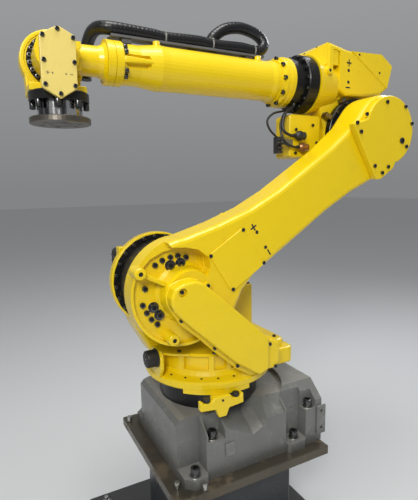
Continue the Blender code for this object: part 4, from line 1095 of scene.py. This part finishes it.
def plus_mark(size, stroke):
    strokes = [box_piece((-size, size), (-stroke, stroke), (0, mark_height)),
               box_piece((-stroke, stroke), (-size, size), (0, mark_height - 0.00005))]
    return round_edges(join(strokes, "plus_mark"), mark_edge, 1)


def minus_mark(size, stroke):
    return round_edges(box_piece((-size, size), (-stroke, stroke), (0, mark_height)), mark_edge, 1)


def marks(name, size, plus, dots, minus, face, body, turn, material):
    """A plus, two dots and a minus at places on a face, turned about its normal."""
    made = []
    for shape, spots in ((plus_mark(size, 0.21 * size), plus),
                         (round_edges(cylinder(0.50 * size, 0, mark_height), mark_edge, 1), dots),
                         (minus_mark(0.9 * size, 0.21 * size), minus)):
        places = [stand(spot, face) @ Matrix.Rotation(turn, 4, "Z") for spot in spots]
        made.append(copies(shape, places))
        put_away(shape)
    return hand_over(join(made, name), name, body, material)


arm_face = 0.2000
marks("arm_marks", 0.0110, [arm_place(0.036, 0.267, arm_face)],
      [arm_place(0.017, 0.269, arm_face), arm_place(-0.039, 0.270, arm_face)],
      [arm_place(-0.059, 0.272, arm_face)], side_axis, "upper_arm",
      math.radians(180 + lean_degrees), mark_black)
head_near = 0.0800
marks("head_marks", 0.0112, [elbow_place(0.050, head_near, 0.242)],
      [elbow_place(0.051, head_near, 0.217), elbow_place(0.051, head_near, 0.178)],
      [elbow_place(0.053, head_near, 0.160)], side_axis, "elbow", 0.0, mark_black)
mark_level = roll_height - 0.0645
marks("wrist_marks", 0.0042, [Vector((0.468, hex_face, mark_level))],
      [Vector((0.457, hex_face, mark_level)), Vector((0.425, hex_face, mark_level))],
      [Vector((0.412, hex_face, mark_level))], side_axis, "wrist", 0.0, mark_faint)
print("marks on three axes")

# %% [markdown]
# The head has a few small screws: two hold the rear cover, and two more sit on the
# sloping web above the gearbox. The box of the connectors has four.

# %% Screws on the head and on the connector box
slope = Vector((0.581, 0.0, 0.814))
roof = [elbow_place(0.171, -0.012, 0.2815), elbow_place(0.152, 0.030, 0.2948)]
screw_set("roof_screws", "tiny", roof, slope, "elbow", bolt_black)
head_spots = [elbow_place(0.004, 0.0820, 0.2740), elbow_place(-0.099, 0.0820, 0.2230)]
screw_set("head_screws", "tiny", head_spots, side_axis, "elbow", bolt_black)
box_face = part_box("connector_box")[1].y
box_spots = [(0.183, 0.029), (0.258, -0.066), (0.165, -0.030), (0.256, 0.012)]
screw_set("box_screws", "small", [elbow_place(x, box_face, z) for x, z in box_spots],
          side_axis, "elbow", bolt_black)
print("head and box screws:", len(roof) + len(head_spots) + len(box_spots))

# %% [markdown]
# The two connectors on the box are turned pieces: a body, a ridged ring to grip and a
# tapered shell with a rubber sleeve where the cable goes in. One is black and the other has
# a brown plating.

# %% The connectors


def connector(name, radius, length, material, sleeve):
    """A round connector that points along its own upright."""
    body = round_edges(cylinder(radius, 0, 0.40 * length, 28), 0.0010)
    grip = round_edges(cylinder(1.12 * radius, 0.36 * length, 0.66 * length, 28), 0.0008)
    parts = [body, grip]
    for index in range(18):
        turn = math.radians(20 * index)
        ridge = box_piece((-0.0011, 0.0011), (-0.0011, 0.0011), (0.39 * length, 0.63 * length))
        ridge.location = (1.12 * radius * math.cos(turn), 1.12 * radius * math.sin(turn), 0)
        ridge.rotation_euler.z = turn
        parts.append(ridge)
    clear_selection()
    bpy.ops.mesh.primitive_cone_add(vertices=28, radius1=0.94 * radius, radius2=0.60 * radius,
                                    depth=0.30 * length, location=(0, 0, 0.81 * length))
    parts.append(round_edges(bpy.context.object, 0.0006, 1))
    shell = join(parts, name)
    bpy.ops.object.transform_apply(location=True, rotation=True, scale=True)
    shell.data.materials.clear()
    shell.data.materials.append(material)
    sock = round_edges(cylinder(sleeve, 0.92 * length, 1.14 * length, 20), 0.0008)
    sock.data.materials.append(rubber)
    return smooth(join([shell, sock], name))


for name, radius, start, length, z, material, sleeve in (
    ("power_connector", 0.0135, 0.2300, 0.0400, -0.010, plastic, 0.0066),
    ("signal_connector", 0.0125, 0.2160, 0.0380, -0.047, copper, 0.0056),
):
    low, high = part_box(name)
    place = Vector((elbow_point.x + start, (low.y + high.y) / 2, elbow_point.z + z))
    shape = connector(name + "_shape", radius, length, material, sleeve)
    shape.matrix_world = stand(place, front_axis)
    apply_all(shape)
    hand_over(shape, name + "_shape", "elbow", None)
    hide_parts(name)
print("connectors: black and brown")

# %% [markdown]
# A dark terminal block stands beside the connectors on a strip of steel. A third cable
# leaves it and goes up behind the gearbox, and a thin one curls back to the connectors.

# %% The terminal block and its cable
block = box_piece((0.314, 0.332), (0.026, 0.056), (-0.068, -0.014))
for level in (-0.060, -0.046, -0.032):
    take_away(block, box_piece((0.310, 0.336), (0.050, 0.060), (level, level + 0.005)))
block.location = elbow_point
apply_all(block)
hand_over(smooth(round_edges(block, 0.0010, 1)), "terminal_block", "elbow", plastic)
strip = box_piece((0.270, 0.318), (0.0505, 0.0530), (-0.040, -0.022))
strip.location = elbow_point
apply_all(strip)
hand_over(round_edges(strip, 0.0006, 1), "terminal_strip", "elbow", sheet_steel)
third_route = [(0.262, 0.028, 0.086), (0.300, 0.038, 0.072), (0.345, 0.043, 0.060),
               (0.370, 0.045, 0.036), (0.360, 0.045, 0.008), (0.330, 0.043, -0.016)]
third_cable = tube("third_cable", [elbow_place(*point) for point in third_route], 0.0036)
hand_over(third_cable, "third_cable", "elbow", rubber)
thin_route = [(0.330, 0.050, -0.052), (0.342, 0.056, -0.046), (0.336, 0.064, -0.034),
              (0.312, 0.066, -0.040), (0.292, 0.064, -0.047)]
thin_cable = tube("thin_cable", [elbow_place(*point) for point in thin_route], 0.0024)
hand_over(thin_cable, "thin_cable", "elbow", rubber)
print("terminal block and two more cables")

# %% [markdown]
# The boss of the carousel has a ring of worn screws on a thin black flange, which show in
# the gap beside the arm. The flange's black is partly its own and partly painted shade in
# that gap. The buffer is a rubber cylinder with a well rounded rim, so a new
# piece takes the place of its CAD solid. It has a foot ring, a belt and a bolt in its end.
# The stop bracket has one small screw on its stem.

# %% The boss, the buffer and the stop bracket
boss_middle = Vector((lean_point.x, -0.0480, lean_point.z))
# black flange ring, partly painted shade in the gap beside the arm
boss_shade_flange_height = 0.0024
boss_shade_flange = washer("boss_shade_flange", 0.1475, 0.1325, boss_shade_flange_height)
flange_copy = copies(boss_shade_flange, [stand(boss_middle, side_axis)])
hand_over(flange_copy, "boss_shade_flange_ring", "carousel", black_metal)
boss_ring = on_circle(boss_middle + boss_shade_flange_height * side_axis, side_axis, 0.1405, 24, 4.0)
screw_set("boss_ring_screws", "ring", boss_ring, side_axis, "carousel", bolt_worn)
buffer_low, buffer_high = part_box("buffer_cap")
buffer_centre = (buffer_low + buffer_high) / 2
buffer_radius = 0.435 * (buffer_high.y - buffer_low.y)
buffer_length = buffer_high.x - buffer_low.x


def on_buffer(x):
    """A place on the middle line of the buffer."""
    return Vector((x, buffer_centre.y, buffer_centre.z))


buffer_cap = round_edges(cylinder(buffer_radius, 0, buffer_length, 40), 0.0060, 4)
buffer_cap.matrix_world = stand(on_buffer(buffer_low.x), front_axis)
apply_all(buffer_cap)
hand_over(smooth(buffer_cap), "buffer_cap_shape", "carousel", rubber)
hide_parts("buffer_cap")
foot_washer = washer("buffer_foot", 1.10 * buffer_radius, 0.0200, 0.0060)
foot_ring = copies(foot_washer, [stand(on_buffer(buffer_low.x), front_axis)])
hand_over(foot_ring, "buffer_foot_ring", "carousel", rubber)
belt_washer = washer("buffer_groove", 1.02 * buffer_radius, 0.0200, 0.0030)
belt = copies(belt_washer, [stand(on_buffer(buffer_low.x + 0.0175), front_axis)])
hand_over(belt, "buffer_belt", "carousel", rubber)
screw_set("buffer_bolt", "reducer", [on_buffer(buffer_high.x - 0.004)], front_axis, "carousel",
          bolt_black)
bracket_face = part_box("stop_bracket")[1].y
screw_set("bracket_screw", "tiny", [Vector((0.071, bracket_face, 0.6600))], side_axis, "carousel",
          bolt_black)
print("boss screws:", len(boss_ring))

# %% [markdown]
# The forearm's neck has a rib along each side. It starts as a box, and its rear end is
# made smaller in edit mode so that it tapers. Two small round bosses stand on top of the
# tube.

# %% Ribs and bosses of the forearm
rib_pieces = []
for side in (1, -1):
    rib = box_piece((0.726, 0.846), (-0.0115, 0.0115), (-0.0090, 0.0090))
    rear_end = [corner.co.x < 0.78 for corner in rib.data.vertices]
    bpy.ops.object.mode_set(mode="EDIT")
    bpy.ops.mesh.select_mode(type="VERT")
    bpy.ops.mesh.select_all(action="DESELECT")
    bpy.ops.object.mode_set(mode="OBJECT")
    rib.data.vertices.foreach_set("select", rear_end)
    bpy.ops.object.mode_set(mode="EDIT")
    bpy.ops.transform.resize(value=(1, 0.75, 0.35))
    bpy.ops.object.mode_set(mode="OBJECT")
    rib.location.y = side * 0.0505
    rib_pieces.append(rib)
ribs = join(rib_pieces, "neck_ribs")
bpy.ops.object.transform_apply(location=True, rotation=True, scale=True)
ribs.location = forearm_place(0, 0, 0)
apply_all(ribs)
hand_over(smooth(round_edges(ribs, 0.0045, 3)), "neck_ribs", "forearm", smooth_yellow)
cap_master = round_edges(cylinder(0.0105, 0.050, 0.0725), 0.0020, 2)
cap_master.name = "tube_boss"
cap_places = [Matrix.Translation(forearm_place(0.739, 0.020, -0.004)),
              Matrix.Translation(forearm_place(0.392, 0.022, -0.004))]
caps = copies(smooth(cap_master), cap_places)
hand_over(caps, "tube_boss_caps", "forearm", smooth_yellow)
put_away(cap_master)
print("ribs:", len(rib_pieces), "bosses:", len(cap_places))

# %% [markdown]
# The side pad of the base has two tapped holes. They are made in the same way as the
# holes of the arm's bosses, a little smaller.

# %% Holes in the side pad
pad_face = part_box("base_side_pad")[1].y
holes("side_pad_holes", [Vector((-0.310, pad_face, 0.520)), Vector((-0.310, pad_face, 0.461))],
      side_axis, 0.75, "base", grey_paint)
print("pad face at y =", round(pad_face, 4))

# %% [markdown]
# The photograph doesn't show the far side, so it is kept plain. Each motor gets the flange
# and the end cover that such motors have. The square one has cooling ribs and a plug
# underneath, and the round one a band and a small block for its plug.

# %% The far side of the motors
far_axis = -side_axis


def plate_piece(x, y, z, radius):
    """A flat plate or block with softened edges."""
    return round_edges(box_piece(x, y, z), radius, 2)


lean_low, lean_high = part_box("lean_motor")
mount_grow = 0.012
mount = plate_piece((lean_low.x - mount_grow, lean_high.x + mount_grow),
                    (lean_high.y - 0.034, lean_high.y + 0.004),
                    (lean_low.z - mount_grow, lean_high.z + mount_grow), 0.006)
hand_over(smooth(mount), "lean_motor_mount", "carousel", yellow_paint)
end_cover = plate_piece((lean_low.x + 0.008, lean_high.x - 0.008),
                        (lean_low.y - 0.008, lean_low.y + 0.002),
                        (lean_low.z + 0.008, lean_high.z - 0.008), 0.003)
plug_block = plate_piece((lean_low.x + 0.045, lean_high.x - 0.045),
                         (lean_low.y + 0.030, lean_low.y + 0.085),
                         (lean_low.z - 0.016, lean_low.z + 0.002), 0.003)
lean_parts = [end_cover, plug_block]
rib_gap = 0.0196
for index in range(6):
    level = lean_low.z + 0.026 + rib_gap * index
    lean_parts.append(plate_piece((lean_low.x - 0.004, lean_high.x + 0.004),
                                  (lean_low.y + 0.012, lean_high.y - 0.046),
                                  (level - 0.002, level + 0.002), 0.0008))
hand_over(smooth(join(lean_parts, "lean_motor_trim")), "lean_motor_trim", "carousel",
          black_metal)
lean_corners = [Vector((x, lean_low.y - 0.008, z))
                for x in (lean_low.x + 0.018, lean_high.x - 0.018)
                for z in (lean_low.z + 0.018, lean_high.z - 0.018)]
screw_set("lean_motor_screws", "small", lean_corners, far_axis, "carousel", zinc)
lean_plug = connector("lean_motor_plug", 0.0120, 0.0380, plastic, 0.0060)
lean_plug.matrix_world = stand(Vector((0.150, lean_low.y + 0.058, lean_low.z - 0.014)), -up_axis)
apply_all(lean_plug)
hand_over(lean_plug, "lean_motor_plug", "carousel", None)

elbow_low, elbow_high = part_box("elbow_motor")
elbow_middle = Vector(((elbow_low.x + elbow_high.x) / 2, 0, (elbow_low.z + elbow_high.z) / 2))
elbow_radius = (elbow_high.x - elbow_low.x) / 2
near_end = -elbow_high.y
far_end = -elbow_low.y
elbow_parts = [
    round_edges(cylinder(elbow_radius + 0.016, near_end - 0.002, near_end + 0.012, 40), 0.002),
    round_edges(cylinder(elbow_radius + 0.002, far_end - 0.045, far_end - 0.030, 40), 0.001),
    round_edges(cylinder(0.64 * elbow_radius, far_end - 0.002, far_end + 0.010, 32), 0.002),
    plate_piece((elbow_radius - 0.006, elbow_radius + 0.014), (-0.020, 0.020),
                (far_end - 0.095, far_end - 0.052), 0.003),
]
elbow_trim = join(elbow_parts, "elbow_motor_trim")
elbow_trim.matrix_world = stand(elbow_middle, far_axis)
apply_all(elbow_trim)
hand_over(smooth(elbow_trim), "elbow_motor_trim", "elbow", black_metal)
flange_centre = elbow_middle + Vector((0, elbow_high.y - 0.012, 0))
flange_ring = on_circle(flange_centre, far_axis, elbow_radius + 0.0085, 6, 15.0)
screw_set("elbow_motor_screws", "small", flange_ring, far_axis, "elbow", zinc)
print("motors trimmed:", len(lean_parts), "and", len(elbow_parts), "shapes")

# %% [markdown]
# Three more details are left: an access cover on the elbow housing, a blank panel with
# two round sockets on the back of the base, and four screws on top of the turn motor's
# cover. A plate is a box with softened edges.

# %% The access cover, the base panel and the turn motor's screws
house_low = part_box("elbow_housing")[0]
cover_low = house_low.y - 0.0040
access = plate_piece((-0.700, -0.470), (cover_low, house_low.y + 0.001), (1.592, 1.706), 0.0020)
hand_over(smooth(access), "elbow_access_cover", "elbow", yellow_paint)
access_places = [Vector((x, cover_low, z)) for x in (-0.690, -0.585, -0.480)
                 for z in (1.602, 1.696)]
screw_set("access_screws", "tiny", access_places, far_axis, "elbow", bolt_black)

back_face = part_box("base_casting")[0].x
panel_face = back_face - 0.0050
panel = plate_piece((panel_face, back_face + 0.001), (-0.120, 0.120), (0.440, 0.548), 0.0020)
hand_over(smooth(panel), "base_back_panel", "base", grey_paint)
socket_parts = [
    round_edges(cylinder(0.0270, 0, 0.0090, 32), 0.0015),
    round_edges(cylinder(0.0220, 0, 0.0200, 32), 0.0015),
]
take_away(socket_parts[1], cylinder(0.0180, 0.0100, 0.0400, 32))
socket = smooth(join(socket_parts, "base_socket"))
socket_spots = [stand(Vector((panel_face, y, 0.498)), -front_axis) for y in (-0.060, 0.060)]
hand_over(copies(socket, socket_spots), "base_sockets", "base", black_metal)
put_away(socket)
panel_places = [Vector((panel_face, y, z)) for y in (-0.110, 0.0, 0.110)
                for z in (0.450, 0.538)]
screw_set("panel_screws", "small", panel_places, -front_axis, "base", bolt_black)

turn_low, turn_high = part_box("turn_motor")
turn_places = [Vector((x, y, turn_high.z)) for x in (turn_low.x + 0.016, turn_high.x - 0.016)
               for y in (turn_low.y + 0.014, turn_high.y - 0.014)]
screw_set("turn_cover_screws", "small", turn_places, up_axis, "carousel", bolt_black)
print("access cover, base panel and", len(turn_places), "screws on the turn motor's cover")

# %% [markdown]
# The column of the pedestal is welded to its two plates. A bead with a rounded edge runs
# round its foot and its head.

# %% Weld beads of the pedestal
column_low, column_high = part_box("pedestal_column")
bead = 0.0055
weld_parts = []
for level in (column_low.z, column_high.z - bead):
    weld_parts.append(plate_piece((column_low.x - bead, column_high.x + bead),
                                  (column_low.y - bead, column_high.y + bead),
                                  (level, level + bead), 0.0022))
hand_over(smooth(join(weld_parts, "weld_beads")), "weld_beads", "base", rusty_steel)
print("weld beads:", len(weld_parts))

# %% [markdown]
# The master screws and washers have been copied to all their places, so they go.

# %% The masters are put away
for master in [*screws.values(), base_washer, clamp_washer, hole_ring, hole_shade_disc,
               step_ring, pilot, foot_washer, belt_washer, boss_shade_flange, hub_band]:
    put_away(master)
print("masters removed")

# %% [markdown]
# That is the end of the dressing.

# %% The end


print("the end")
